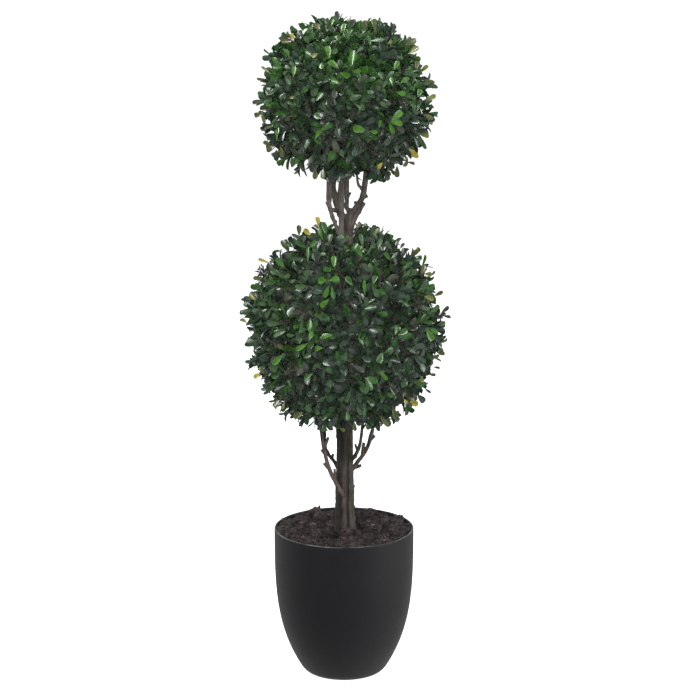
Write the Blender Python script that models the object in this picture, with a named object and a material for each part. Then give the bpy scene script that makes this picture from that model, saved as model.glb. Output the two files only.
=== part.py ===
"""Artificial boxwood topiary: two clipped balls of leaves on a bundle of stems, in a round pot.

Frame: metres, +Z up. The origin is the middle of the pot's flat underside.
The plant's front faces -Y, and its right side is +X.
"""

import math
import random

import bmesh
import bpy
from mathutils import Matrix, Vector
from mathutils.bvhtree import BVHTree

# Whole plant
PLANT_HEIGHT = 0.914

# Air between pieces: where one rests on another, round a limb where it meets its
# neighbour or a core, round the stems inside a ball, and between a limb and a leaf
GAP = 0.0003
LIMB_CLEARANCE = 0.0004
CHANNEL_CLEARANCE = 0.0005
LEAF_CLEARANCE = 0.0008

# Pot: a turned plastic shell, upright at the rim and drawn in towards its foot
POT_HEIGHT = 0.206
POT_RIM_RADIUS = 0.096
POT_FOOT_RADIUS = 0.054
POT_CURVE = 3.45
POT_FOOT_FILLET = 0.009
POT_WALL = 0.003
POT_FLOOR = 0.004
POT_INNER_KNEE = 0.012
POT_SIDES = 44
POT_ROWS = 6
POT_ROW_CROWDING = 1.3
FILLET_STEPS = 3

# Bark mulch that fills the pot, with a flat place in the middle for the stems
MULCH_LEVEL = 0.1990
MULCH_SWELL = 0.0025
MULCH_CLEARANCE = 0.00042
STEM_PLACE_RADIUS = 0.024

# Balls: the furthest that a leaf reaches from the middle, and the core's share of that
LOWER_BALL_CENTRE = Vector((0.0015, 0.0, 0.4850))
LOWER_BALL_REACH = Vector((0.1480, 0.1480, 0.1470))
UPPER_BALL_CENTRE = Vector((0.0005, 0.0, 0.7965))
UPPER_BALL_REACH = Vector((0.1260, 0.1260, 0.1155))
CORE_SHARE = 0.78
CORE_SUBDIVISIONS = 3
LOWER_CHANNEL_SPAN = (0.33, 0.65)
UPPER_CHANNEL_SPAN = (0.68, 0.80)

# Sprays of leaves, set evenly over each ball, and single leaves on the core between them
LOWER_SPRAYS = 40
UPPER_SPRAYS = 30
LOWER_CORE_LEAVES = 112
UPPER_CORE_LEAVES = 78
LOWER_SEED = 11
UPPER_SEED = 23
GOLDEN_ANGLE = math.pi * (3.0 - math.sqrt(5.0))
QUARTER_TURN = math.pi / 2.0
AZIMUTH_JITTER = 0.12
TRIES = 8

# A spray's twigs: shares of the ball's reach, places along the twig, radii, and leans in degrees
TWIG_ROOT_SHARE = 0.74
TWIG_TIP_SHARE = 0.85
TWIG_TIP_SPREAD = 0.02
TWIG_LEAN = 10.0
LEAST_LEAF_TIP_SHARE = 0.94
SIDE_FORK = 0.50
PAIR_NODE = 0.78
TWIG_SIDES = 4
TWIG_RADIUS = 0.0018
TWIG_TIP_RADIUS = 0.0014
SIDE_TWIG_LENGTH = 0.021
SIDE_TWIG_RADIUS = 0.0009
SIDE_TWIG_TIP_RADIUS = 0.0008
SIDE_TWIG_LEAN = (54.0, 66.0)

# A leaf's sizes, how deep its root sits, and how far each kind leans from its twig in degrees
LEAF_LENGTH = 0.0290
LEAF_WIDTH = 0.0175
LEAF_THICKNESS = 0.0024
LEAF_WIDEST = 0.60
LEAF_CUP = 0.0020
LEAF_SINK = 0.0008
CORE_LEAF_SINK = 0.0035
LEAF_SIZES = (0.88, 1.10)
TIP_LEAF_LEAN = (0.0, 14.0)
PAIR_LEAF_LEAN = (44.0, 64.0)
SIDE_TIP_LEAF_LEAN = (-14.0, 14.0)
SIDE_LEAF_LEAN = (40.0, 60.0)
CORE_LEAF_LEAN = (24.0, 54.0)

# The one stray leaf at the very top
TOP_LEAF_X = -0.0072

# Stems and boughs: the middle line's points from foot to tip, and the radius at each point
STEM_SIDES = 10
BOUGH_SIDES = 8
RINGS_PER_SPAN = 2

FOOT_Z = MULCH_LEVEL + GAP

TRUNK_PATH = (
    ((0.0013, -0.0060, FOOT_Z), 0.0052),
    ((0.0013, -0.0055, 0.235), 0.0043),
    ((0.0005, -0.0052, 0.360), 0.0040),
    ((-0.0031, -0.0047, 0.624), 0.0037),
    ((-0.0031, -0.0047, 0.690), 0.0037),
    ((0.0008, -0.0020, 0.790), 0.0030),
)
LEFT_STEM_PATH = (
    ((-0.0082, 0.0014, FOOT_Z), 0.0058),
    ((-0.0068, 0.0014, 0.240), 0.0055),
    ((-0.0042, 0.0038, 0.360), 0.0047),
    ((-0.0024, 0.0048, 0.615), 0.0042),
    ((-0.0052, 0.0051, 0.642), 0.0040),
    ((-0.0112, 0.0050, 0.657), 0.0042),
    ((-0.0148, 0.0042, 0.672), 0.0043),
    ((-0.0176, 0.0030, 0.730), 0.0039),
)
RIGHT_STEM_PATH = (
    ((0.0108, 0.0010, FOOT_Z), 0.0058),
    ((0.0094, 0.0010, 0.240), 0.0050),
    ((0.0078, 0.0010, 0.360), 0.0043),
    ((0.0092, -0.0010, 0.630), 0.0034),
    ((0.0106, -0.0008, 0.645), 0.0033),
    ((0.0171, -0.0002, 0.655), 0.0032),
    ((0.0250, 0.0000, 0.666), 0.0035),
    ((0.0276, 0.0000, 0.680), 0.0037),
    ((0.0330, 0.0000, 0.730), 0.0034),
)
BACK_STEM_PATH = (
    ((0.0013, 0.0112, FOOT_Z), 0.0050),
    ((0.0013, 0.0104, 0.240), 0.0042),
    ((0.0022, 0.0102, 0.360), 0.0037),
    ((0.0053, 0.0070, 0.620), 0.0025),
    ((0.0047, 0.0070, 0.690), 0.0024),
    ((0.0053, 0.0060, 0.740), 0.0022),
)
LOWER_LEFT_BOUGH_PATH = (
    ((0.0012, -0.0060, 0.2500), 0.0030),
    ((-0.0060, -0.0102, 0.2632), 0.0028),
    ((-0.0196, -0.0102, 0.2895), 0.0027),
    ((-0.0270, -0.0100, 0.3190), 0.0025),
    ((-0.0330, -0.0100, 0.3610), 0.0022),
    ((-0.0360, -0.0090, 0.3950), 0.0020),
)
LOWER_LEFT_INNER_BOUGH_PATH = (
    ((-0.0060, 0.0040, 0.2840), 0.0025),
    ((-0.0125, 0.0095, 0.2955), 0.0024),
    ((-0.0215, 0.0125, 0.3070), 0.0022),
    ((-0.0262, 0.0138, 0.3240), 0.0021),
    ((-0.0262, 0.0140, 0.3950), 0.0019),
)
LOWER_RIGHT_BOUGH_PATH = (
    ((0.0070, 0.0015, 0.2810), 0.0029),
    ((0.0170, 0.0055, 0.2950), 0.0028),
    ((0.0296, 0.0080, 0.3120), 0.0026),
    ((0.0368, 0.0090, 0.3316), 0.0025),
    ((0.0410, 0.0095, 0.3560), 0.0023),
    ((0.0440, 0.0090, 0.3950), 0.0021),
)
LOWER_RIGHT_INNER_BOUGH_PATH = (
    ((0.0075, 0.0000, 0.2975), 0.0024),
    ((0.0145, -0.0060, 0.3085), 0.0023),
    ((0.0207, -0.0095, 0.3225), 0.0022),
    ((0.0243, -0.0100, 0.3450), 0.0021),
    ((0.0295, -0.0090, 0.3950), 0.0018),
)
UPPER_LEFT_BOUGH_PATH = (
    ((-0.0030, -0.0050, 0.6085), 0.0026),
    ((-0.0102, -0.0067, 0.6280), 0.0024),
    ((-0.0158, -0.0067, 0.6430), 0.0024),
    ((-0.0194, -0.0067, 0.6610), 0.0030),
    ((-0.0189, -0.0067, 0.6850), 0.0033),
    ((-0.0200, -0.0060, 0.7300), 0.0029),
)
UPPER_RIGHT_STUB_PATH = (
    ((0.0088, -0.0012, 0.6140), 0.0033),
    ((0.0110, -0.0060, 0.6280), 0.0033),
    ((0.0168, -0.0072, 0.6427), 0.0032),
    ((0.0268, -0.0076, 0.6602), 0.0029),
)
UPPER_RIGHT_FORK_PATH = (
    ((0.0268, 0.0000, 0.6730), 0.0018),
    ((0.0222, -0.0010, 0.6801), 0.0017),
    ((0.0184, -0.0012, 0.6880), 0.0016),
    ((0.0150, -0.0012, 0.7300), 0.0015),
)

# Short cut-off spurs: where each leaves its limb's middle line, its tip and its foot radius
SPUR_TIP_SHARE = 0.62
SPUR_SIDES = 6
SHARP_ANGLE = 40.0
LOWER_LEFT_SPURS = (
    ((-0.0218, -0.0102, 0.2932), (-0.0276, -0.0110, 0.2998), 0.0019),
    ((-0.0262, -0.0101, 0.3130), (-0.0310, -0.0092, 0.3188), 0.0018),
    ((-0.0118, -0.0102, 0.2745), (-0.0130, -0.0118, 0.2920), 0.0016),
    ((-0.0270, -0.0101, 0.3200), (-0.0214, -0.0116, 0.3365), 0.0018),
)
LOWER_LEFT_INNER_SPURS = (
    ((-0.0162, 0.0110, 0.3010), (-0.0148, 0.0116, 0.3070), 0.0017),
)
LOWER_RIGHT_SPURS = (
    ((0.0130, 0.0045, 0.2885), (0.0238, 0.0040, 0.2930), 0.0020),
    ((0.0250, 0.0072, 0.3055), (0.0270, 0.0060, 0.3240), 0.0020),
    ((0.0350, 0.0088, 0.3265), (0.0424, 0.0090, 0.3335), 0.0020),
)
LOWER_RIGHT_INNER_SPURS = (
    ((0.0185, -0.0083, 0.3165), (0.0155, -0.0100, 0.3265), 0.0015),
)
UPPER_LEFT_SPURS = (
    ((-0.0188, -0.0067, 0.6540), (-0.0228, -0.0078, 0.6612), 0.0023),
)
RIGHT_STEM_SPURS = (
    ((0.0235, 0.0000, 0.6640), (0.0318, -0.0010, 0.6682), 0.0021),
    ((0.0170, -0.0002, 0.6550), (0.0146, 0.0004, 0.6606), 0.0017),
)
BACK_STEM_SPURS = (
    ((0.0050, 0.0070, 0.6640), (0.0090, 0.0060, 0.6715), 0.0014),
)

# Colours as red, green, blue, with roughness: all of them plain plastic or dyed bark
POT_COLOUR = (0.021, 0.021, 0.023)
MULCH_COLOUR = (0.030, 0.021, 0.018)
BARK_COLOUR = (0.050, 0.042, 0.036)
LEAF_COLOUR = (0.030, 0.062, 0.024)
POT_ROUGHNESS = 0.50
MULCH_ROUGHNESS = 0.95
BARK_ROUGHNESS = 0.80
LEAF_ROUGHNESS = 0.45


def clear_scene():
    """Remove whatever the scene holds before the plant is made."""
    for item in list(bpy.data.objects):
        bpy.data.objects.remove(item, do_unlink=True)


def make_material(name, colour, roughness):
    """Return a plain shader with this colour and roughness."""
    material = bpy.data.materials.new(name)
    material.use_nodes = True
    shader = material.node_tree.nodes["Principled BSDF"]
    shader.inputs["Base Color"].default_value = (*colour, 1.0)
    shader.inputs["Roughness"].default_value = roughness
    shader.inputs["Metallic"].default_value = 0.0
    material.diffuse_color = (*colour, 1.0)
    return material


def add_object(name, shape, material=None):
    """Put a bmesh into the scene as one named object."""
    bmesh.ops.recalc_face_normals(shape, faces=shape.faces)
    mesh = bpy.data.meshes.new(name)
    shape.to_mesh(mesh)
    shape.free()
    item = bpy.data.objects.new(name, mesh)
    bpy.context.scene.collection.objects.link(item)
    if material:
        mesh.materials.append(material)
    return item


def shade_round(item):
    """Shade a round piece smooth, but keep its real corners."""
    item.data.shade_smooth()
    item.data.set_sharp_from_angle(angle=math.radians(SHARP_ANGLE))


def remove_objects(items):
    """Delete objects and their meshes."""
    for item in list(items):
        mesh = item.data
        bpy.data.objects.remove(item, do_unlink=True)
        bpy.data.meshes.remove(mesh)


def apply_modifiers(item):
    """Turn an object's evaluated shape into its own mesh."""
    graph = bpy.context.evaluated_depsgraph_get()
    made = bpy.data.meshes.new_from_object(item.evaluated_get(graph))
    old = item.data
    item.modifiers.clear()
    item.data = made
    made.name = item.name
    bpy.data.meshes.remove(old)


def cut_away(item, cutters):
    """Subtract the cutters from an object, then delete them."""
    for cutter in cutters:
        cut = item.modifiers.new("cut", "BOOLEAN")
        cut.operation = "DIFFERENCE"
        cut.object = cutter
    apply_modifiers(item)
    remove_objects(cutters)


def keep_largest_body(item):
    """Drop loose scraps and fill sealed hollows: only the outermost shell stays."""
    shape = bmesh.new()
    shape.from_mesh(item.data)
    unseen = set(shape.verts)
    islands = []
    while unseen:
        island = {unseen.pop()}
        front = list(island)
        while front:
            vertex = front.pop()
            for edge in vertex.link_edges:
                other = edge.other_vert(vertex)
                if other in unseen:
                    unseen.remove(other)
                    island.add(other)
                    front.append(other)
        islands.append(island)
    islands.sort(key=len, reverse=True)
    for island in islands[1:]:
        bmesh.ops.delete(shape, geom=list(island), context="VERTS")
    shape.to_mesh(item.data)
    shape.free()


def fuse(item, parts, solver):
    """Join all of the parts to an object in one union, then delete them."""
    group = bpy.data.collections.new(item.name + "_parts")
    bpy.context.scene.collection.children.link(group)
    for part in parts:
        bpy.context.scene.collection.objects.unlink(part)
        group.objects.link(part)
    union = item.modifiers.new("union", "BOOLEAN")
    union.operation = "UNION"
    union.operand_type = "COLLECTION"
    union.collection = group
    union.solver = solver
    apply_modifiers(item)
    remove_objects(group.objects)
    bpy.data.collections.remove(group)
    keep_largest_body(item)


def turned(rows, sides):
    """Return a closed body turned about Z from (radius, height) rows that start and end on it."""
    shape = bmesh.new()
    rings = []
    for radius, height in rows:
        ring = []
        for step in range(sides):
            angle = 2.0 * math.pi * step / sides
            ring.append(shape.verts.new((radius * math.cos(angle), radius * math.sin(angle), height)))
        rings.append(ring)
    for ring, following in zip(rings, rings[1:]):
        for step in range(sides):
            after = (step + 1) % sides
            shape.faces.new((ring[step], ring[after], following[after], following[step]))
    shape.faces.new(list(reversed(rings[0])))
    shape.faces.new(rings[-1])
    return shape


def pot_radius(height):
    """Return the outer radius of the pot's wall at a height."""
    drop = (POT_HEIGHT - height) / POT_HEIGHT
    return POT_RIM_RADIUS - (POT_RIM_RADIUS - POT_FOOT_RADIUS) * drop ** POT_CURVE


def wall_heights(low, high, rows):
    """Return heights along the wall, closer together near the foot, where it curves most."""
    return [low + (high - low) * (step / rows) ** POT_ROW_CROWDING for step in range(rows + 1)]


def foot_fillet():
    """Return the rounded edge between the underside and the wall, from the underside up."""
    start = (POT_FOOT_RADIUS - POT_FOOT_FILLET, 0.0)
    corner = (POT_FOOT_RADIUS, 0.0)
    end = (pot_radius(POT_FOOT_FILLET), POT_FOOT_FILLET)
    rows = []
    for step in range(FILLET_STEPS):
        share = step / FILLET_STEPS
        rows.append(tuple(
            (1.0 - share) ** 2 * a + 2.0 * share * (1.0 - share) * b + share ** 2 * c
            for a, b, c in zip(start, corner, end)
        ))
    return rows


def inner_rows(clear=0.0):
    """Return the pot's inner wall from its floor to just below the lip, drawn in by a clearance."""
    top = POT_HEIGHT - POT_WALL / 2.0
    rows = [(POT_FOOT_RADIUS - POT_FOOT_FILLET - clear, POT_FLOOR + clear)]
    for height in wall_heights(POT_INNER_KNEE, top, POT_ROWS - 1):
        rows.append((pot_radius(height) - POT_WALL - clear, height))
    return rows


def make_pot(material):
    """Turn the pot as one open shell with a flat underside and a rounded lip."""
    lip = POT_WALL / 2.0
    rows = foot_fillet()
    for height in wall_heights(POT_FOOT_FILLET, POT_HEIGHT - lip, POT_ROWS):
        rows.append((pot_radius(height), height))
    for degrees in (45.0, 90.0, 135.0):
        angle = math.radians(degrees)
        rows.append((POT_RIM_RADIUS - lip + lip * math.cos(angle), POT_HEIGHT - lip + lip * math.sin(angle)))
    rows += list(reversed(inner_rows()))
    pot = add_object("pot", turned(rows, POT_SIDES), material)
    shade_round(pot)
    return pot


def make_mulch(material):
    """Fill the pot with mulch: a flat place for the stems, then a low swell towards the wall."""
    edge = pot_radius(MULCH_LEVEL) - POT_WALL - MULCH_CLEARANCE
    rows = [row for row in inner_rows(MULCH_CLEARANCE) if row[1] < MULCH_LEVEL - MULCH_SWELL]
    rows.append((edge, MULCH_LEVEL))
    swell_width = edge - STEM_PLACE_RADIUS
    for share in (0.75, 0.5, 0.25):
        height = MULCH_LEVEL + MULCH_SWELL * math.sin(math.pi * share)
        rows.append((STEM_PLACE_RADIUS + swell_width * share, height))
    rows.append((STEM_PLACE_RADIUS, MULCH_LEVEL))
    mulch = add_object("mulch", turned(rows, POT_SIDES), material)
    shade_round(mulch)
    return mulch


def smooth_path(path):
    """Return (point, radius) pairs on one smooth curve through a limb's points."""
    points = [Vector(point) for point, radius in path]
    radii = [radius for point, radius in path]
    points = [2.0 * points[0] - points[1], *points, 2.0 * points[-1] - points[-2]]
    made = []
    for span in range(len(path) - 1):
        before, start, end, after = points[span:span + 4]
        for step in range(RINGS_PER_SPAN):
            t = step / RINGS_PER_SPAN
            point = 0.5 * (
                2.0 * start
                + (end - before) * t
                + (2.0 * before - 5.0 * start + 4.0 * end - after) * t ** 2
                + (3.0 * start - before - 3.0 * end + after) * t ** 3
            )
            made.append((point, radii[span] + (radii[span + 1] - radii[span]) * t))
    made.append((points[-2], radii[-1]))
    return made


def swept(rings, sides, grow=0.0, level_foot=False, corner=Vector((1.0, 0.0, 0.0))):
    """Return a closed limb along (point, radius) rings, thicker by a clearance where asked.

    The first corner of each ring points as nearly as it can towards the corner direction.
    """
    shape = bmesh.new()
    across = corner
    loops = []
    for index, (point, radius) in enumerate(rings):
        ahead = rings[min(index + 1, len(rings) - 1)][0]
        behind = rings[max(index - 1, 0)][0]
        along = (ahead - behind).normalized()
        if level_foot and index == 0:
            along = Vector((0.0, 0.0, 1.0))
        across = (across - along * across.dot(along)).normalized()
        up = along.cross(across)
        loop = []
        for side in range(sides):
            angle = 2.0 * math.pi * side / sides
            arm = across * math.cos(angle) + up * math.sin(angle)
            loop.append(shape.verts.new(point + arm * (radius + grow)))
        loops.append(loop)
    for loop, following in zip(loops, loops[1:]):
        for side in range(sides):
            after = (side + 1) % sides
            shape.faces.new((loop[side], loop[after], following[after], following[side]))
    shape.faces.new(list(reversed(loops[0])))
    shape.faces.new(loops[-1])
    return shape


def grown_copy(path, sides):
    """Return a limb made thicker by the clearance, to cut its neighbours clear of it."""
    grow = LIMB_CLEARANCE / math.cos(math.pi / sides)
    return add_object("grown_limb", swept(smooth_path(path), sides, grow))


def make_limb(name, path, spurs, sides, material, neighbours=(), masses=(), level_foot=False):
    """Make one tapering limb with its cut-off spurs, clear of its neighbours and of the cores."""
    limb = add_object(name, swept(smooth_path(path), sides, 0.0, level_foot), material)
    stubs = []
    for root, tip, radius in spurs:
        rings = [(Vector(root), radius), (Vector(tip), radius * SPUR_TIP_SHARE)]
        stubs.append(add_object("spur", swept(rings, SPUR_SIDES)))
    if stubs:
        fuse(limb, stubs, "MANIFOLD")
    cutters = [grown_copy(neighbour, STEM_SIDES) for neighbour in neighbours]
    cutters += [make_core("grown_core", centre, reach, LIMB_CLEARANCE) for centre, reach in masses]
    if cutters:
        cut_away(limb, cutters)
        keep_largest_body(limb)
    shade_round(limb)
    return limb


def make_core(name, centre, reach, grow=0.0):
    """Return the dense middle of a ball, an evenly faceted ellipsoid."""
    shape = bmesh.new()
    bmesh.ops.create_icosphere(shape, subdivisions=CORE_SUBDIVISIONS, radius=1.0)
    sizes = [side * CORE_SHARE + grow for side in reach]
    bmesh.ops.transform(shape, matrix=Matrix.Diagonal((*sizes, 1.0)), verts=shape.verts)
    bmesh.ops.translate(shape, vec=centre, verts=shape.verts)
    return add_object(name, shape)


def stem_channel(paths, span):
    """Return one channel round all of the stems that pass through a span of heights."""
    shape = bmesh.new()
    for path in paths:
        tube = swept(smooth_path(path), STEM_SIDES, CHANNEL_CLEARANCE)
        for vertex in tube.verts:
            if span[0] < vertex.co.z < span[1]:
                shape.verts.new(vertex.co)
                shape.verts.new(vertex.co + Vector((0.0, 0.0, CHANNEL_CLEARANCE)))
        tube.free()
    hull = bmesh.ops.convex_hull(shape, input=shape.verts)
    unused = [part for part in hull["geom_interior"] if isinstance(part, bmesh.types.BMVert)]
    bmesh.ops.delete(shape, geom=unused, context="VERTS")
    return add_object("stem_channel", shape)


def leaf_shape(root, along, face_up, length):
    """Return one thick leaf of eight faces: a root, a tip, two edges and two ridges."""
    side = along.cross(face_up).normalized()
    face_up = side.cross(along).normalized()
    width = LEAF_WIDTH * length / LEAF_LENGTH
    widest = root + along * length * LEAF_WIDEST
    shape = bmesh.new()
    foot = shape.verts.new(root)
    tip = shape.verts.new(root + along * length)
    edges = [
        shape.verts.new(widest + side * width * 0.5 + face_up * LEAF_CUP),
        shape.verts.new(widest - face_up * LEAF_THICKNESS * 0.5),
        shape.verts.new(widest - side * width * 0.5 + face_up * LEAF_CUP),
        shape.verts.new(widest + face_up * LEAF_THICKNESS * 0.5),
    ]
    for index, edge in enumerate(edges):
        following = edges[(index + 1) % len(edges)]
        shape.faces.new((foot, edge, following))
        shape.faces.new((tip, following, edge))
    return shape


def tilted(along, azimuth, degrees):
    """Return a direction leaned away from another by some degrees, towards an azimuth."""
    across = along.orthogonal().normalized()
    across = Matrix.Rotation(azimuth, 3, along) @ across
    lean = math.radians(degrees)
    return along * math.cos(lean) + across * math.sin(lean)


def twig_shape(start, end, radius, tip_radius, turn):
    """Return a square twig, with a flat side towards each quarter turn where a leaf may sit."""
    corner = tilted((end - start).normalized(), turn + math.pi / 4.0, 90.0)
    return swept([(start, radius), (end, tip_radius)], TWIG_SIDES, corner=corner)


class Crown:
    """The leaves and twigs of one ball while it grows: its space, its seed and what it holds."""

    def __init__(self, centre, reach, seed, limbs):
        self.centre = centre
        self.reach = reach
        self.rng = random.Random(seed)
        self.limbs = limbs
        self.shapes = []
        self.leaf_trees = []

    def share(self, point):
        """Return how far out a point lies, as a share of the ball's reach in its direction."""
        away = point - self.centre
        return Vector((away.x / self.reach.x, away.y / self.reach.y, away.z / self.reach.z)).length

    def fits(self, shape, tree):
        """Tell whether a shape keeps to the ball's space and touches no limb and no other leaf."""
        if any(self.share(vertex.co) > 1.0 for vertex in shape.verts):
            return False
        if self.limbs.overlap(tree):
            return False
        return not any(other.overlap(tree) for other in self.leaf_trees)

    def add_twig(self, start, end, radius, tip_radius, turn):
        """Add a twig where it fits, and tell whether it did."""
        shape = twig_shape(start, end, radius, tip_radius, turn)
        if self.fits(shape, BVHTree.FromBMesh(shape)):
            self.shapes.append(shape)
            return True
        shape.free()
        return False

    def add_leaf(self, root, twig, turn, lean, face_up, length):
        """Add a leaf that leans away from its twig by a seeded angle, after a few tries at most."""
        for attempt in range(TRIES):
            along = tilted(twig, turn, self.rng.uniform(*lean))
            leaf_root = root - along * LEAF_SINK
            shape = leaf_shape(leaf_root, along, face_up, length * self.rng.uniform(*LEAF_SIZES))
            tree = BVHTree.FromBMesh(shape)
            if self.fits(shape, tree):
                self.shapes.append(shape)
                self.leaf_trees.append(tree)
                return
            shape.free()

    def add_spray(self, direction):
        """Grow one spray: a twig with a leaf at its tip and a pair below, and a side twig."""
        rng = self.rng
        root = self.centre + direction * self.reach * TWIG_ROOT_SHARE
        outward = tilted(direction, rng.uniform(0.0, 4.0 * QUARTER_TURN), rng.uniform(0.0, TWIG_LEAN))
        room = (direction * self.reach).length
        tip_share = TWIG_TIP_SHARE + rng.uniform(-TWIG_TIP_SPREAD, TWIG_TIP_SPREAD)
        tip = root + outward * room * (tip_share - TWIG_ROOT_SHARE)
        turn = rng.uniform(0.0, 4.0 * QUARTER_TURN)
        if not self.add_twig(root, tip, TWIG_RADIUS, TWIG_TIP_RADIUS, turn):
            return
        length = room * (rng.uniform(LEAST_LEAF_TIP_SHARE, 1.0) - tip_share)
        self.add_leaf(tip, outward, turn, TIP_LEAF_LEAN, tilted(outward, turn, 90.0), length)
        node = root.lerp(tip, PAIR_NODE)
        for side in (1, 3):
            self.add_leaf(node, outward, turn + side * QUARTER_TURN, PAIR_LEAF_LEAN, outward, LEAF_LENGTH)
        self.add_side_twig(root.lerp(tip, SIDE_FORK), outward, turn + 2.0 * QUARTER_TURN * rng.randint(0, 1))

    def add_side_twig(self, fork, outward, turn):
        """Grow a side twig with a leaf at its tip and one below, square to the pair on the main twig."""
        along = tilted(outward, turn, self.rng.uniform(*SIDE_TWIG_LEAN))
        tip = fork + along * SIDE_TWIG_LENGTH * self.rng.uniform(*LEAF_SIZES)
        if not self.add_twig(fork, tip, SIDE_TWIG_RADIUS, SIDE_TWIG_TIP_RADIUS, 0.0):
            return
        self.add_leaf(tip, along, 0.0, SIDE_TIP_LEAF_LEAN, outward, LEAF_LENGTH)
        node = fork.lerp(tip, PAIR_NODE)
        self.add_leaf(node, along, QUARTER_TURN, SIDE_LEAF_LEAN, outward, LEAF_LENGTH)

    def add_core_leaf(self, direction):
        """Grow one leaf straight out of the core, between the sprays."""
        room = (direction * self.reach).length
        root = self.centre + direction * self.reach * (CORE_SHARE - CORE_LEAF_SINK / room)
        turn = self.rng.uniform(0.0, 4.0 * QUARTER_TURN)
        self.add_leaf(root, direction, turn, CORE_LEAF_LEAN, direction, LEAF_LENGTH)

    def grow(self, sprays, core_leaves):
        """Set sprays evenly over the ball, and then leaves on the core between them."""
        for direction in even_directions(sprays, self.rng):
            self.add_spray(direction)
        for direction in even_directions(core_leaves, self.rng):
            self.add_core_leaf(direction)


def even_directions(count, rng):
    """Yield directions spread evenly over a ball, a golden angle apart."""
    for index in range(count):
        height = 1.0 - 2.0 * (index + 0.5) / count
        level = math.sqrt(1.0 - height ** 2)
        azimuth = index * GOLDEN_ANGLE + rng.uniform(-AZIMUTH_JITTER, AZIMUTH_JITTER)
        yield Vector((level * math.cos(azimuth), level * math.sin(azimuth), height))


def limb_tree(paths, spur_sets):
    """Return a search tree of every limb made thicker by the clearance that leaves keep."""
    vertices = []
    faces = []
    shapes = [swept(smooth_path(path), STEM_SIDES, LEAF_CLEARANCE) for path in paths]
    for spurs in spur_sets:
        for root, tip, radius in spurs:
            shapes.append(swept([(Vector(root), radius), (Vector(tip), radius)], SPUR_SIDES, LEAF_CLEARANCE))
    for shape in shapes:
        first = len(vertices)
        shape.verts.index_update()
        vertices += [vertex.co.copy() for vertex in shape.verts]
        faces += [[vertex.index + first for vertex in face.verts] for face in shape.faces]
        shape.free()
    return BVHTree.FromPolygons(vertices, faces)


def make_ball(name, centre, reach, counts, seed, limbs, channel, material, top_leaf=()):
    """Make one clipped ball: its core, cut clear of the stems, with sprays fused to it."""
    ball = make_core(name, centre, reach)
    cut_away(ball, [channel])
    crown = Crown(centre, reach, seed, limbs)
    crown.grow(*counts)
    parts = [add_object("spray_part", shape) for shape in [*crown.shapes, *top_leaf]]
    fuse(ball, parts, "EXACT")
    ball.data.materials.clear()
    ball.data.materials.append(material)
    return ball


def top_leaf_shapes():
    """Return the twig and the one leaf that stand up to the plant's full height."""
    twig_root = UPPER_BALL_CENTRE + Vector((TOP_LEAF_X, 0.0, UPPER_BALL_REACH.z * TWIG_ROOT_SHARE))
    leaf_root = Vector((TOP_LEAF_X, 0.0, PLANT_HEIGHT - LEAF_LENGTH))
    twig_tip = leaf_root + Vector((0.0, 0.0, LEAF_SINK))
    leaf = leaf_shape(leaf_root, Vector((0.0, 0.0, 1.0)), Vector((0.0, -1.0, 0.0)), LEAF_LENGTH)
    return [twig_shape(twig_root, twig_tip, TWIG_RADIUS, TWIG_TIP_RADIUS, 0.0), leaf]


LOWER_BALL = (LOWER_BALL_CENTRE, LOWER_BALL_REACH)
UPPER_BALL = (UPPER_BALL_CENTRE, UPPER_BALL_REACH)

# Each stem: its name, path and spurs, and the ball that it ends in
STEMS = (
    ("trunk", TRUNK_PATH, (), ()),
    ("left_stem", LEFT_STEM_PATH, (), (UPPER_BALL,)),
    ("right_stem", RIGHT_STEM_PATH, RIGHT_STEM_SPURS, (UPPER_BALL,)),
    ("back_stem", BACK_STEM_PATH, BACK_STEM_SPURS, (UPPER_BALL,)),
)

# Each bough: its name, path and spurs, the stems that it grows from, and the ball that it ends in
BOUGHS = (
    ("lower_left_bough", LOWER_LEFT_BOUGH_PATH, LOWER_LEFT_SPURS,
     (TRUNK_PATH, LEFT_STEM_PATH), (LOWER_BALL,)),
    ("lower_left_inner_bough", LOWER_LEFT_INNER_BOUGH_PATH, LOWER_LEFT_INNER_SPURS,
     (LEFT_STEM_PATH,), (LOWER_BALL,)),
    ("lower_right_bough", LOWER_RIGHT_BOUGH_PATH, LOWER_RIGHT_SPURS,
     (RIGHT_STEM_PATH,), (LOWER_BALL,)),
    ("lower_right_inner_bough", LOWER_RIGHT_INNER_BOUGH_PATH, LOWER_RIGHT_INNER_SPURS,
     (RIGHT_STEM_PATH,), (LOWER_BALL,)),
    ("upper_left_bough", UPPER_LEFT_BOUGH_PATH, UPPER_LEFT_SPURS,
     (TRUNK_PATH,), (UPPER_BALL,)),
    ("upper_right_stub", UPPER_RIGHT_STUB_PATH, (),
     (RIGHT_STEM_PATH,), ()),
    ("upper_right_fork", UPPER_RIGHT_FORK_PATH, (),
     (RIGHT_STEM_PATH,), (UPPER_BALL,)),
)


def make_limbs(bark):
    """Make the stems from their level feet, and then the boughs that grow from them."""
    for name, path, spurs, masses in STEMS:
        make_limb(name, path, spurs, STEM_SIDES, bark, (), masses, True)
    for name, path, spurs, neighbours, masses in BOUGHS:
        make_limb(name, path, spurs, BOUGH_SIDES, bark, neighbours, masses)


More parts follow.
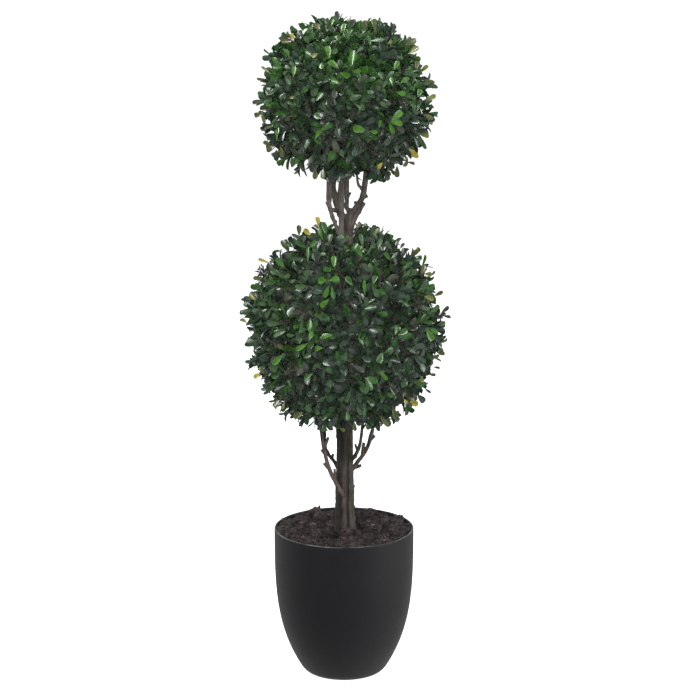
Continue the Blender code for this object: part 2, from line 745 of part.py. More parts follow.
def make_balls(leaf_finish):
    """Make both balls round the limbs."""
    limbs = STEMS + BOUGHS
    tree = limb_tree([limb[1] for limb in limbs], [limb[2] for limb in limbs])
    lower_channel = stem_channel([stem[1] for stem in STEMS], LOWER_CHANNEL_SPAN)
    upper_channel = stem_channel([TRUNK_PATH], UPPER_CHANNEL_SPAN)
    lower_counts = (LOWER_SPRAYS, LOWER_CORE_LEAVES)
    upper_counts = (UPPER_SPRAYS, UPPER_CORE_LEAVES)
    make_ball("lower_ball", *LOWER_BALL, lower_counts, LOWER_SEED, tree, lower_channel, leaf_finish)
    make_ball("upper_ball", *UPPER_BALL, upper_counts, UPPER_SEED, tree, upper_channel, leaf_finish,
              top_leaf_shapes())


def main():
    """Make every piece of the plant."""
    clear_scene()
    make_pot(make_material("pot_finish", POT_COLOUR, POT_ROUGHNESS))
    make_mulch(make_material("mulch_finish", MULCH_COLOUR, MULCH_ROUGHNESS))
    make_limbs(make_material("bark", BARK_COLOUR, BARK_ROUGHNESS))
    make_balls(make_material("leaf_finish", LEAF_COLOUR, LEAF_ROUGHNESS))


main()
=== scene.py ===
"""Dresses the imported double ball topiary: pot, mulch, bark, twigs and leaves, in a pale studio.

The file is laid out as a Blender add-on and run as a script. Metres, +Z up. The plant's front
faces -Y, and the origin is the middle of the pot's flat underside.
"""

import math
import random

import bpy
import numpy as np
from mathutils import Matrix, Vector


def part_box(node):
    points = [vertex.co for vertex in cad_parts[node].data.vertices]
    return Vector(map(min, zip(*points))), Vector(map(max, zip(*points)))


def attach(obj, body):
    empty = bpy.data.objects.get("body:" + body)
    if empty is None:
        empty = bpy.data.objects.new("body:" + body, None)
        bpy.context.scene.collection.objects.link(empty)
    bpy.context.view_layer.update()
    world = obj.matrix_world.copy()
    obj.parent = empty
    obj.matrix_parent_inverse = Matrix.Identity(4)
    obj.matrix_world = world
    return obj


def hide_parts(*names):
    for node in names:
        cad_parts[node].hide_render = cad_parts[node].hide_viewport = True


bl_info = {
    "name": "Double ball topiary",
    "version": (1, 0, 0),
    "blender": (4, 5, 0),
    "location": "3D View > Sidebar > Topiary",
    "description": "Dresses a potted artificial topiary with bark, mulch, twigs and leaves",
    "category": "Add Mesh",
}

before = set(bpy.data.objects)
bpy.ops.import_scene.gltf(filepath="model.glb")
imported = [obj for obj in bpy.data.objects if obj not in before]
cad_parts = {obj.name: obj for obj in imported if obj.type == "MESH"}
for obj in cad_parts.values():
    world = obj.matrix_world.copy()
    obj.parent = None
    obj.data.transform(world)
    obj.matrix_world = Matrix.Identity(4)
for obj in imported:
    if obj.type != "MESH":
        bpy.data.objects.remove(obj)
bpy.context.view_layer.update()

# Places read from the frame
POT_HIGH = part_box("pot")[1]
STEM_FOOT_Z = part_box("trunk")[0].z

# The photograph's camera: where it stands, what it looks at, and its lens on a 36 mm sensor
CAMERA_PLACE = (0.0, -3.355, 1.2385)
CAMERA_TARGET = (0.00827, 0.0, 0.4562)
CAMERA_LENS = 130.6
SENSOR_WIDTH = 36.0
CAMERA_CLIP = (0.1, 50.0)

# Balls as in the part's source: the middle, and how far the leaves may reach on each side
LOWER_BALL_CENTRE = Vector((0.0015, 0.0, 0.4850))
LOWER_BALL_REACH = Vector((0.1480, 0.1480, 0.1490))
UPPER_BALL_CENTRE = Vector((0.0005, 0.0, 0.7965))
UPPER_BALL_REACH = Vector((0.1260, 0.1260, 0.1175))

# Studio: the dome that the plant stands in, the light all round by height and by how far in front,
# and each lamp's place, target and size, and whether the leaves mirror it
ROOM_CENTRE_RINGS = (0.02, 0.5, 2.0)
ROOM_RADIUS = 9.0
ROOM_BEND = 1.5
ROOM_HEIGHT = 7.5
ROOM_STEPS = 14
ROOM_SIDES = 64
LIGHT_FROM_BELOW = 1.75
LIGHT_LEVEL = 0.88
LIGHT_HEIGHTS = (-0.95, -0.10)
DARK_FRONT_TURN = math.radians(24.0)
LIGHT_FROM_FRONT = 0.22
LIGHT_FRONTS = (-0.95, 0.25)
LAMPS = (
    ("key", (-1.35, -2.0, 2.5), (0.0, 0.0, 0.55), 0.8, True),
    ("side", (2.3, -0.9, 0.9), (0.0, 0.0, 0.35), 1.0, True),
    ("left", (-1.8, 1.1, 1.7), (0.0, 0.0, 0.60), 0.6, True),
    ("right", (1.7, 1.3, 1.9), (0.0, 0.0, 0.60), 0.6, True),
    ("fill", (0.0, -3.35, 1.2385), (0.0, 0.0, 0.45), 0.3, False),
)

FULL_TURN = 2.0 * math.pi
QUARTER_TURN = math.pi / 2.0
GOLDEN_ANGLE = math.pi * (3.0 - math.sqrt(5.0))
AZIMUTH_JITTER = 0.12

# Limbs: the middle line's points from foot to tip, and the radii there. They follow the part's
# source, and leave it by 1 to 3 mm at some bends that the photograph shows between the balls.
TRUNK_PATH = (
    ((0.0013, -0.0060, STEM_FOOT_Z), 0.0052),
    ((0.0013, -0.0055, 0.235), 0.0043),
    ((0.0005, -0.0052, 0.360), 0.0040),
    ((-0.0031, -0.0047, 0.624), 0.0037),
    ((-0.0031, -0.0047, 0.690), 0.0037),
    ((0.0008, -0.0020, 0.790), 0.0030),
)
LEFT_STEM_PATH = (
    ((-0.0082, 0.0014, STEM_FOOT_Z), 0.0058),
    ((-0.0068, 0.0014, 0.240), 0.0055),
    ((-0.0042, 0.0038, 0.360), 0.0047),
    ((-0.0024, 0.0048, 0.615), 0.0042),
    ((-0.0052, 0.0051, 0.642), 0.0040),
    ((-0.0105, 0.0050, 0.657), 0.0042),
    ((-0.0118, 0.0044, 0.6665), 0.0045),
    ((-0.0143, 0.0040, 0.676), 0.0043),
    ((-0.0146, 0.0036, 0.686), 0.0043),
    ((-0.0128, 0.0030, 0.700), 0.0042),
    ((-0.0155, 0.0030, 0.730), 0.0039),
)
RIGHT_STEM_PATH = (
    ((0.0108, 0.0010, STEM_FOOT_Z), 0.0058),
    ((0.0094, 0.0010, 0.240), 0.0050),
    ((0.0078, 0.0010, 0.360), 0.0043),
    ((0.0092, -0.0010, 0.628), 0.0034),
    ((0.0102, -0.0008, 0.640), 0.0033),
    ((0.0156, -0.0002, 0.6515), 0.0032),
    ((0.0243, 0.0000, 0.6645), 0.0036),
    ((0.0276, 0.0000, 0.680), 0.0040),
    ((0.0330, 0.0000, 0.730), 0.0038),
)
BACK_STEM_PATH = (
    ((0.0013, 0.0112, STEM_FOOT_Z), 0.0050),
    ((0.0013, 0.0104, 0.240), 0.0042),
    ((0.0022, 0.0102, 0.360), 0.0037),
    ((0.0044, 0.0068, 0.620), 0.0034),
    ((0.0046, 0.0068, 0.6300), 0.0034),
    ((0.0058, 0.0070, 0.6375), 0.0025),
    ((0.0057, 0.0070, 0.6465), 0.0025),
    ((0.0037, 0.0060, 0.6512), 0.0034),
    ((0.0036, 0.0060, 0.6560), 0.0034),
    ((0.0046, 0.0060, 0.6600), 0.0026),
    ((0.0038, 0.0058, 0.6640), 0.0033),
    ((0.0038, 0.0058, 0.690), 0.0033),
    ((0.0048, 0.0060, 0.740), 0.0024),
)
LOWER_LEFT_BOUGH_PATH = (
    ((0.0012, -0.0060, 0.2500), 0.0030),
    ((-0.0060, -0.0102, 0.2632), 0.0028),
    ((-0.0196, -0.0102, 0.2895), 0.0027),
    ((-0.0270, -0.0100, 0.3190), 0.0025),
    ((-0.0330, -0.0100, 0.3610), 0.0022),
    ((-0.0360, -0.0090, 0.3950), 0.0020),
)
LOWER_LEFT_INNER_BOUGH_PATH = (
    ((-0.0060, 0.0040, 0.2840), 0.0025),
    ((-0.0125, 0.0095, 0.2955), 0.0024),
    ((-0.0215, 0.0125, 0.3070), 0.0022),
    ((-0.0262, 0.0138, 0.3240), 0.0021),
    ((-0.0262, 0.0140, 0.3950), 0.0019),
)
LOWER_RIGHT_BOUGH_PATH = (
    ((0.0070, 0.0015, 0.2810), 0.0029),
    ((0.0170, 0.0055, 0.2950), 0.0028),
    ((0.0296, 0.0080, 0.3120), 0.0026),
    ((0.0368, 0.0090, 0.3316), 0.0025),
    ((0.0410, 0.0095, 0.3560), 0.0023),
    ((0.0440, 0.0090, 0.3950), 0.0021),
)
LOWER_RIGHT_INNER_BOUGH_PATH = (
    ((0.0075, 0.0000, 0.2975), 0.0024),
    ((0.0145, -0.0060, 0.3085), 0.0023),
    ((0.0207, -0.0095, 0.3225), 0.0022),
    ((0.0243, -0.0100, 0.3450), 0.0021),
    ((0.0295, -0.0090, 0.3950), 0.0018),
)
UPPER_LEFT_BOUGH_PATH = (
    ((-0.0030, -0.0050, 0.6085), 0.0026),
    ((-0.0102, -0.0067, 0.6280), 0.0024),
    ((-0.0158, -0.0067, 0.6430), 0.0024),
    ((-0.0193, -0.0067, 0.6585), 0.0030),
    ((-0.0194, -0.0067, 0.6640), 0.0037),
    ((-0.0192, -0.0067, 0.6850), 0.0037),
    ((-0.0200, -0.0060, 0.7300), 0.0029),
)
UPPER_RIGHT_STUB_PATH = (
    ((0.0088, -0.0012, 0.6140), 0.0033),
    ((0.0110, -0.0060, 0.6280), 0.0033),
    ((0.0168, -0.0072, 0.6427), 0.0032),
    ((0.0268, -0.0076, 0.6602), 0.0029),
)
UPPER_RIGHT_FORK_PATH = (
    ((0.0268, 0.0000, 0.6730), 0.0018),
    ((0.0222, -0.0010, 0.6801), 0.0017),
    ((0.0184, -0.0012, 0.6880), 0.0016),
    ((0.0150, -0.0012, 0.7300), 0.0015),
)

# Cut-off spurs: where each leaves its limb, its tip and its foot radius
LOWER_LEFT_SPURS = (
    ((-0.0218, -0.0102, 0.2932), (-0.0276, -0.0110, 0.2998), 0.0019),
    ((-0.0262, -0.0101, 0.3130), (-0.0310, -0.0092, 0.3188), 0.0018),
    ((-0.0118, -0.0102, 0.2745), (-0.0130, -0.0118, 0.2920), 0.0016),
    ((-0.0270, -0.0101, 0.3200), (-0.0214, -0.0116, 0.3365), 0.0018),
)
LOWER_LEFT_INNER_SPURS = (
    ((-0.0162, 0.0110, 0.3010), (-0.0148, 0.0116, 0.3070), 0.0017),
)
LOWER_RIGHT_SPURS = (
    ((0.0130, 0.0045, 0.2885), (0.0238, 0.0040, 0.2930), 0.0020),
    ((0.0250, 0.0072, 0.3055), (0.0270, 0.0060, 0.3240), 0.0020),
    ((0.0350, 0.0088, 0.3265), (0.0424, 0.0090, 0.3335), 0.0020),
)
LOWER_RIGHT_INNER_SPURS = (
    ((0.0185, -0.0083, 0.3165), (0.0155, -0.0100, 0.3265), 0.0015),
)
UPPER_LEFT_SPURS = (
    ((-0.0188, -0.0067, 0.6540), (-0.0228, -0.0078, 0.6612), 0.0023),
    ((-0.0168, -0.0067, 0.6506), (-0.0088, 0.0015, 0.6468), 0.0025),
)
RIGHT_STEM_SPURS = (
    ((0.0235, 0.0000, 0.6640), (0.0318, -0.0010, 0.6682), 0.0021),
    ((0.0170, -0.0002, 0.6550), (0.0146, 0.0004, 0.6606), 0.0017),
)
BACK_STEM_SPURS = (
    ((0.0050, 0.0070, 0.6640), (0.0090, 0.0060, 0.6715), 0.0014),
    ((0.0046, 0.0066, 0.6680), (-0.0002, -0.0006, 0.6692), 0.0013),
    ((0.0046, 0.0066, 0.6745), (-0.0002, -0.0006, 0.6758), 0.0012),
)
SPUR_TIP_SHARE = 0.85
SPUR_SWELL = 1.22
SPUR_RINGS = 9

# Each limb: its node, path, spurs and bark tone
LIMBS = (
    ("trunk", TRUNK_PATH, (), "ridged"),
    ("left_stem", LEFT_STEM_PATH, (), "dark"),
    ("right_stem", RIGHT_STEM_PATH, RIGHT_STEM_SPURS, "olive"),
    ("back_stem", BACK_STEM_PATH, BACK_STEM_SPURS, "dark"),
    ("lower_left_bough", LOWER_LEFT_BOUGH_PATH, LOWER_LEFT_SPURS, "rosy"),
    ("lower_left_inner_bough", LOWER_LEFT_INNER_BOUGH_PATH, LOWER_LEFT_INNER_SPURS, "dark"),
    ("lower_right_bough", LOWER_RIGHT_BOUGH_PATH, LOWER_RIGHT_SPURS, "rosy"),
    ("lower_right_inner_bough", LOWER_RIGHT_INNER_BOUGH_PATH, LOWER_RIGHT_INNER_SPURS, "olive"),
    ("upper_left_bough", UPPER_LEFT_BOUGH_PATH, UPPER_LEFT_SPURS, "dark"),
    ("upper_right_stub", UPPER_RIGHT_STUB_PATH, (), "rosy"),
    ("upper_right_fork", UPPER_RIGHT_FORK_PATH, (), "dark"),
)
STEM_FEET = (TRUNK_PATH[0], LEFT_STEM_PATH[0], RIGHT_STEM_PATH[0], BACK_STEM_PATH[0])

# Bark: how finely a limb is turned, the sizes of its ridges and knots, and where its colour changes
BARK_SIDES = 28
BARK_RING_STEP = 0.0016
RIDGES_ROUND = 2.6
RIDGE_LENGTH = 0.030
RIDGE_TWIST = 9.0
PITS_PER_METRE = 620.0
PITS_ROUND = 2.4
PIT_SHARE = 0.35
PIT_SEED_STEP = 7
KNOT_SPACING = 0.011
KNOT_HEIGHT = 0.36
KNOT_SPREAD = 0.0036
KNOT_PLACES = (0.02, 0.98)
KNOT_SPREAD_SHARES = (0.5, 1.1)
KNOT_HEIGHT_SHARES = (0.4, 1.0)
# Painted shade in the bark's furrows and painted highlight on its ridges, as shares of its colour
FURROW_PAINTED_SHADE = 0.32
RIDGE_PAINTED_HIGHLIGHT = 1.95
RIDGE_STRENGTH = 0.62
RIDGE_SCALE = (420.0, 420.0, 46.0)
CRACK_SCALE = (1500.0, 1500.0, 240.0)
RIDGE_LEFT = (-0.0026, -0.0010)
RIDGE_RIGHT = (0.0038, 0.0020)
RIDGE_TOP = (0.310, 0.275)
UPPER_BARK = (0.44, 0.56)

# Pot: how finely it is turned, the bow of its wall, and its inside
POT_SIDES = 240
POT_ROWS = 64
POT_CURVE = 3.45
POT_FILLET_STEPS = 10
LIP_STEPS = 9
POT_FLOOR = 0.004
POT_INNER_KNEE = 0.012
# Band below the lip's top, in wall thicknesses, where a paler colour is painted as a highlight
LIP_HIGHLIGHT_BAND = (0.34, 0.08)

# Mulch: the bed's fineness, its lumps and the loose pieces on it
MULCH_SWELL = 0.0025
MULCH_CLEARANCE = 0.0006
BED_RINGS = 150
BED_SECTORS = 560
BED_CENTRE_SHARE = 0.0004
BED_DEPTH = 0.02
STEM_PLACE_RADIUS = 0.018
BED_LIFT = 0.0030
HEAP_BASE = -0.0050
HEAP_TOP = 0.0042
EDGE_RISE = 0.0038
EDGE_RISE_OUT = (0.052, 0.082)
EDGE_RISE_BACK = (-0.060, 0.006)
LUMP_SIZES = (0.0046, 0.0120)
CRUMB_HEIGHT = 0.0015
CRUMBS_PER_METRE = 300.0
FOOT_HEAP_HEIGHT = 0.0030
FOOT_HEAP_SPREAD = 0.017
# Heights about the stems' feet over which the painted shade of the bed's hollows and low places
# fades, and how much it darkens
LOW_SHADE_HEIGHTS = (-0.0030, 0.0050)
LOW_SHADE_DARKENING = (0.60, 0.62)
MULCH_LIGHTER = 1.3
MULCH_SEED = 71
CRUMB_SEED = 5
BED_MOTTLING = 0.68
CHIP_MOTTLING = 0.48
FIBRE_MOTTLING = 0.35
CHIP_LENGTHS = (0.0009, 0.0030)
CHIP_WIDTHS = (0.35, 0.8)
CHIP_HEIGHTS = (0.2, 0.6)
CHIP_LEANS = (0.45, 0.35)
CHIP_SHIFT = 0.3
CHIP_EDGE_ROOM = 0.002
CHIP_CLEARANCE = -0.001
FIBRE_POINTS = 7
FIBRE_SIDES = 5
FIBRE_TAPER = (0.5, 0.9, 1.0, 1.0, 1.0, 0.8, 0.3)
FIBRE_CURL = 90.0
FIBRE_CLEARANCE = 0.012
FIBRE_EDGE_ROOM = 0.016
FIBRE_ARCH = 0.7
FIBRE_LENGTHS = (0.006, 0.016)
FIBRE_RADIUS = 0.00035
STRAW_LENGTHS = (0.006, 0.014)
STRAW_RADIUS = 0.00045
STRAW_COUNT = 16

# Hollows in the bed (x, y, radius, depth), lumps in set places (x, y, radius, top), and straws
HOLLOWS = (
    (-0.029, 0.050, 0.015, 0.0065),
    (-0.046, 0.060, 0.012, 0.0045),
    (0.031, -0.006, 0.012, 0.0080),
    (0.044, -0.016, 0.012, 0.0070),
    (0.040, -0.045, 0.010, 0.0060),
    (-0.008, -0.024, 0.007, 0.0060),
    (-0.026, -0.034, 0.009, 0.0050),
    (-0.052, -0.034, 0.010, 0.0050),
    (0.056, 0.018, 0.011, 0.0050),
)
PLACED_LUMPS = (
    (-0.041, 0.081, 0.0045, 0.0036),
    (-0.036, 0.083, 0.0030, 0.0042),
    (-0.047, 0.077, 0.0045, 0.0022),
    (0.008, -0.018, 0.0055, 0.0056),
    (0.016, -0.016, 0.0050, 0.0050),
    (0.021, -0.010, 0.0050, 0.0040),
    (-0.020, 0.004, 0.0065, 0.0048),
)
PLACED_STRAWS = (
    ((-0.0465, 0.0180), (-0.0370, 0.0080)),
    ((-0.0230, 0.0175), (-0.0130, 0.0070)),
    ((-0.0610, 0.0080), (-0.0540, 0.0130)),
)

# Whole numbers that stir the noise's cells: one for each axis, one for the seed, and two rounds
CELL_STIRS = (73856093, 19349663, 83492791)
SEED_STIR = 668265263
STIR_ROUNDS = ((15, 2246822519), (13, 3266489917))


def seeded(seed):
    """Return a random source that gives the same numbers on every run."""
    return random.Random(seed)


def lattice_value(cells, seed):
    """Return a repeatable number from -1 to 1 for each whole-numbered cell."""
    stirred = cells * np.array(CELL_STIRS)
    mixed = stirred[..., 0] ^ stirred[..., 1] ^ stirred[..., 2]
    mixed = (mixed + seed * SEED_STIR) & 0xFFFFFFFF
    for shift, stir in STIR_ROUNDS:
        mixed = ((mixed ^ (mixed >> shift)) * stir) & 0xFFFFFFFF
    return ((mixed ^ (mixed >> 16)) & 0xFFFF) / 32767.5 - 1.0


def smooth_noise(points, seed=0):
    """Return smooth noise from -1 to 1 at each point, with features about one unit across."""
    cells = np.floor(points).astype(np.int64)
    part = points - cells
    part = part * part * (3.0 - 2.0 * part)
    total = np.zeros(points.shape[:-1])
    for corner in range(8):
        step = np.array((corner & 1, corner >> 1 & 1, corner >> 2 & 1))
        weight = np.prod(np.where(step == 1, part, 1.0 - part), axis=-1)
        total += weight * lattice_value(cells + step, seed)
    return total


def layered_noise(points, layers, seed=0):
    """Return noise with finer and fainter layers added to it."""
    total = np.zeros(points.shape[:-1])
    strength = 1.0
    for layer in range(layers):
        total += strength * smooth_noise(points * 2.0 ** layer, seed + layer)
        strength *= 0.5
    return total


def unit_rows(rows):
    """Return each row scaled to length one."""
    return rows / np.maximum(np.linalg.norm(rows, axis=-1, keepdims=True), 1e-12)


def add_piece(name, vertices, faces, finish, nodes=(), smooth=True):
    """Add a mesh from arrays as one piece of the plant, in place of the CAD nodes it stands for."""
    mesh = bpy.data.meshes.new(name)
    mesh.vertices.add(len(vertices))
    mesh.vertices.foreach_set("co", np.asarray(vertices, dtype=np.float32).ravel())
    corners = np.concatenate([block.ravel() for block in faces]).astype(np.int32)
    sizes = np.concatenate([np.full(len(block), block.shape[1]) for block in faces])
    starts = np.concatenate(([0], np.cumsum(sizes)[:-1])).astype(np.int32)
    mesh.loops.add(len(corners))
    mesh.loops.foreach_set("vertex_index", corners)
    mesh.polygons.add(len(sizes))
    mesh.polygons.foreach_set("loop_start", starts)
    mesh.update(calc_edges=True)
    if smooth:
        mesh.shade_smooth()
    else:
        mesh.shade_flat()
    mesh.materials.append(finish)
    piece = bpy.data.objects.new(name, mesh)
    bpy.context.scene.collection.objects.link(piece)
    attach(piece, "root")
    if nodes:
        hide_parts(*nodes)
    return piece


def turns(count):
    """Return the angles of so many even steps round a circle."""
    return FULL_TURN * np.arange(count) / count


def turned_rings(outs, ups, sides):
    """Return the corners of a profile of radii and heights, turned round the upright axis."""
    angles = turns(sides)
    heights = np.repeat(ups[:, None], sides, axis=1)
    rings = (outs[:, None] * np.cos(angles), outs[:, None] * np.sin(angles), heights)
    return np.stack(rings, axis=-1).reshape(-1, 3)


def grid_faces(rows, columns):
    """Return the quads of a grid of rows, joined round its columns."""
    row = np.arange(rows - 1)[:, None] * columns
    column = np.arange(columns)[None, :]
    after = (column + 1) % columns
    above = row + columns
    quads = np.stack((row + column, row + after, above + after, above + column), axis=-1)
    return quads.reshape(-1, 4)


def end_fans(rings, sides):
    """Return the triangles that close the first and last rings round the middles after them."""
    ring = np.arange(sides)
    after = (ring + 1) % sides
    last = (rings - 1) * sides
    middle = np.full(sides, rings * sides)
    first_fan = np.stack((after, ring, middle), axis=-1)
    last_fan = np.stack((last + ring, last + after, middle + 1), axis=-1)
    return first_fan, last_fan


def new_finish(name, colour, roughness, specular):
    """Return a material and its Principled shader, with these plain values on its own sockets."""
    finish = bpy.data.materials.new(name)
    finish.use_nodes = True
    shader = finish.node_tree.nodes["Principled BSDF"]
    shader.inputs["Base Color"].default_value = (*colour, 1.0)
    shader.inputs["Roughness"].default_value = roughness
    shader.inputs["Specular IOR Level"].default_value = specular
    finish.diffuse_color = (*colour, 1.0)
    return finish, shader


def add_node(owner, kind, values=None, links=None, **modes):
    """Add a shader node: set its modes, put values on its sockets and link patterns to others."""
    node = owner.node_tree.nodes.new("ShaderNode" + kind)
    for name, mode in modes.items():
        setattr(node, name, mode)
    for socket, value in (values or {}).items():
        node.inputs[socket].default_value = value
    link_sockets(owner, node, links or {})
    return node


def link_sockets(owner, node, links):
    """Link a pattern to each of these sockets of a node."""
    for socket, pattern in links.items():
        owner.node_tree.links.new(pattern, node.inputs[socket])


def object_place(finish, scale=(1.0, 1.0, 1.0)):
    """Return the place on the object in metres, stretched by a scale on each axis."""
    place = add_node(finish, "TexCoord").outputs["Object"]
    return add_node(finish, "Mapping", {"Scale": scale}, {"Vector": place}).outputs["Vector"]


def noise_pattern(finish, place, scale, detail=3.0, roughness=0.55):
    """Return a noise pattern's value at a place."""
    values = {"Scale": scale, "Detail": detail, "Roughness": roughness}
    return add_node(finish, "TexNoise", values, {"Vector": place}).outputs["Fac"]


def colour_ramp(finish, value, stops):
    """Return a colour read off a ramp of (position, colour) stops."""
    ramp = add_node(finish, "ValToRGB", links={"Fac": value})
    stripes = ramp.color_ramp.elements
    while len(stripes) < len(stops):
        stripes.new(0.5)
    for stripe, (position, colour) in zip(stripes, stops):
        stripe.position = position
        stripe.color = (*colour, 1.0)
    return ramp.outputs["Color"]


def map_range(owner, value, low=0.0, high=1.0, start=0.0, end=1.0):
    """Return a pattern rescaled so that what runs from start to end runs from low to high."""
    values = {"From Min": start, "From Max": end, "To Min": low, "To Max": high}
    return add_node(owner, "MapRange", values, {"Value": value}).outputs["Result"]


def axis_mask(finish, axis, start, end):
    """Return a pattern that goes from 0 to 1 between two places along one of the object's axes."""
    split = add_node(finish, "SeparateXYZ", links={"Vector": object_place(finish)})
    return map_range(finish, split.outputs[axis], start=start, end=end)


def both_masks(owner, first, second):
    """Return the product of two patterns."""
    product = add_node(owner, "Math", links={0: first, 1: second}, operation="MULTIPLY")
    return product.outputs["Value"]


def blended(finish, mask, first, second):
    """Return one colour pattern going over into another where a mask says so."""
    links = {"Factor": mask, "A": first, "B": second}
    return add_node(finish, "Mix", links=links, data_type="RGBA").outputs["Result"]


def add_bump(finish, shader, heights):
    """Give a surface fine relief from (pattern, depth) pairs, the coarsest first."""
    before = {}
    for pattern, depth in heights:
        values = {"Strength": 1.0, "Distance": depth}
        bump = add_node(finish, "Bump", values, {"Height": pattern, **before})
        before = {"Normal": bump.outputs["Normal"]}
    link_sockets(finish, shader, before)


def shades(colour, spread):
    """Return darker, middle and lighter versions of a colour."""
    steps = (1.0 - spread, 1.0, 1.0 + spread)
    return [tuple(channel * step for channel in colour) for step in steps]


def smooth_path(path, step):
    """Return points and radii close together on one smooth curve through a limb's points."""
    points = [Vector(point) for point, radius in path]
    radii = [radius for point, radius in path]
    points = [2.0 * points[0] - points[1], *points, 2.0 * points[-1] - points[-2]]
    made = []
    for span in range(len(path) - 1):
        before, start, end, after = points[span:span + 4]
        rings = max(2, round((end - start).length / step))
        for ring in range(rings):
            t = ring / rings
            point = 0.5 * (
                2.0 * start
                + (end - before) * t
                + (2.0 * before - 5.0 * start + 4.0 * end - after) * t ** 2
                + (3.0 * start - before - 3.0 * end + after) * t ** 3
            )
            made.append((*point, radii[span] + (radii[span + 1] - radii[span]) * t))
    made.append((*points[-2], radii[-1]))
    made = np.array(made)
    return made[:, :3], made[:, 3]


def ring_arms(points, sides):
    """Return unit arms from each ring's middle to its sides, for curves given as rows of points."""
    along = unit_rows(np.gradient(points, axis=-2))
    chord = unit_rows(points[..., -1:, :] - points[..., :1, :])
    helper = np.where(np.abs(chord[..., :1]) < 0.7, (1.0, 0.0, 0.0), (0.0, 1.0, 0.0))
    across = unit_rows(helper - along * np.sum(helper * along, axis=-1, keepdims=True))
    up = np.cross(along, across)
    angles = turns(sides)[:, None]
    return across[..., None, :] * np.cos(angles) + up[..., None, :] * np.sin(angles)


def tube_mesh(points, radii, sides):
    """Return vertices and faces of many round twigs with equal rings, each pointed at its tip."""
    count, rings = radii.shape
    arms = ring_arms(points, sides)
    walls = points[:, :, None, :] + arms * radii[:, :, None, None]
    vertices = np.concatenate((walls.reshape(count, rings * sides, 3), points[:, -1:, :]), axis=1)
    each = rings * sides + 1
    first = (np.arange(count) * each)[:, None, None]
    quads = grid_faces(rings, sides)[None] + first
    caps = end_fans(rings, sides)[1] - (0, 0, 1) + first
    return vertices.reshape(-1, 3), [quads.reshape(-1, 4), caps.reshape(-1, 3)]


def length_setting(name, description, default, least=0.001):
    """Return a setting that is a length in metres."""
    return bpy.props.FloatProperty(
        name=name, description=description, default=default, min=least, unit="LENGTH", precision=4)


def colour_setting(name, description, *default):
    """Return a setting that is a colour."""
    return bpy.props.FloatVectorProperty(
        name=name, description=description, default=default, min=0.0, max=1.0, subtype="COLOR")


def count_setting(name, description, default):
    """Return a setting that is a whole number."""
    return bpy.props.IntProperty(name=name, description=description, default=default, min=1)


def share_setting(name, description, default, most=10.0):
    """Return a setting that is a share or a strength."""
    return bpy.props.FloatProperty(
        name=name, description=description, default=default, min=0.0, max=most)


def power_setting(name, description, default):
    """Return a setting that is a lamp's power."""
    return bpy.props.FloatProperty(
        name=name, description=description, default=default, min=0.0, unit="POWER")


class PotSettings(bpy.types.PropertyGroup):
    """Sizes and finish of the pot."""

    rim_radius: length_setting("Rim radius", "Outer radius of the pot at its lip", POT_HIGH.x, 0.02)
    foot_radius: length_setting(
        "Foot radius", "Outer radius that the wall is drawn in to at the ground", 0.054, 0.01)
    height: length_setting("Height", "Height of the lip above the ground", POT_HIGH.z, 0.02)
    wall: length_setting("Wall", "Thickness of the pot's wall", 0.003)
    fillet: length_setting("Foot rounding", "How far the edge of the underside is rounded", 0.009)
    colour: colour_setting("Colour", "Colour of the moulded pot", 0.0046, 0.0046, 0.0057)
    # The lip colour is a painted highlight along the lip, not a colour of the plastic
    lip_highlight_colour: colour_setting(
        "Lip colour", "Colour of the rubbed edge at the lip", 0.075, 0.073, 0.073)


class MulchSettings(bpy.types.PropertyGroup):
    """Amounts and colours of the bark mulch."""

    lumps: count_setting("Lumps", "How many lumps the bed is heaped from", 210)
    chips: count_setting("Chips", "How many loose bark chips of each tone lie on the bed", 1100)
    fibres: count_setting("Fibres", "How many thin fibres lie among the chips", 420)
    colour: colour_setting("Colour", "Middle colour of the dyed bark", 0.0240, 0.0187, 0.0182)
    pale_colour: colour_setting(
        "Pale colour", "Colour of the paler, pinkish chips", 0.043, 0.031, 0.030)
    dark_colour: colour_setting(
        "Dark colour", "Colour of the nearly black chips", 0.014, 0.012, 0.012)
    straw_colour: colour_setting(
        "Straw colour", "Colour of the few pale strands", 0.11, 0.095, 0.075)


class BarkSettings(bpy.types.PropertyGroup):
    """Relief and colours of the bark."""

    relief: share_setting("Relief", "Depth of the ridges as a share of a limb's radius", 0.17, 0.5)
    dark: colour_setting("Dark bark", "Colour of the darker limbs", 0.018, 0.017, 0.014)
    upper: colour_setting(
        "Upper bark", "Colour of the stems between the balls", 0.062, 0.055, 0.048)
    ridge: colour_setting(
        "Front ridge", "Colour of the front stem's pinkish ridge", 0.046, 0.033, 0.031)
    rosy: colour_setting("Rosy bark", "Colour of the pinkish-brown boughs", 0.054, 0.042, 0.037)
    olive: colour_setting("Olive bark", "Colour of the olive-grey stem", 0.038, 0.035, 0.028)


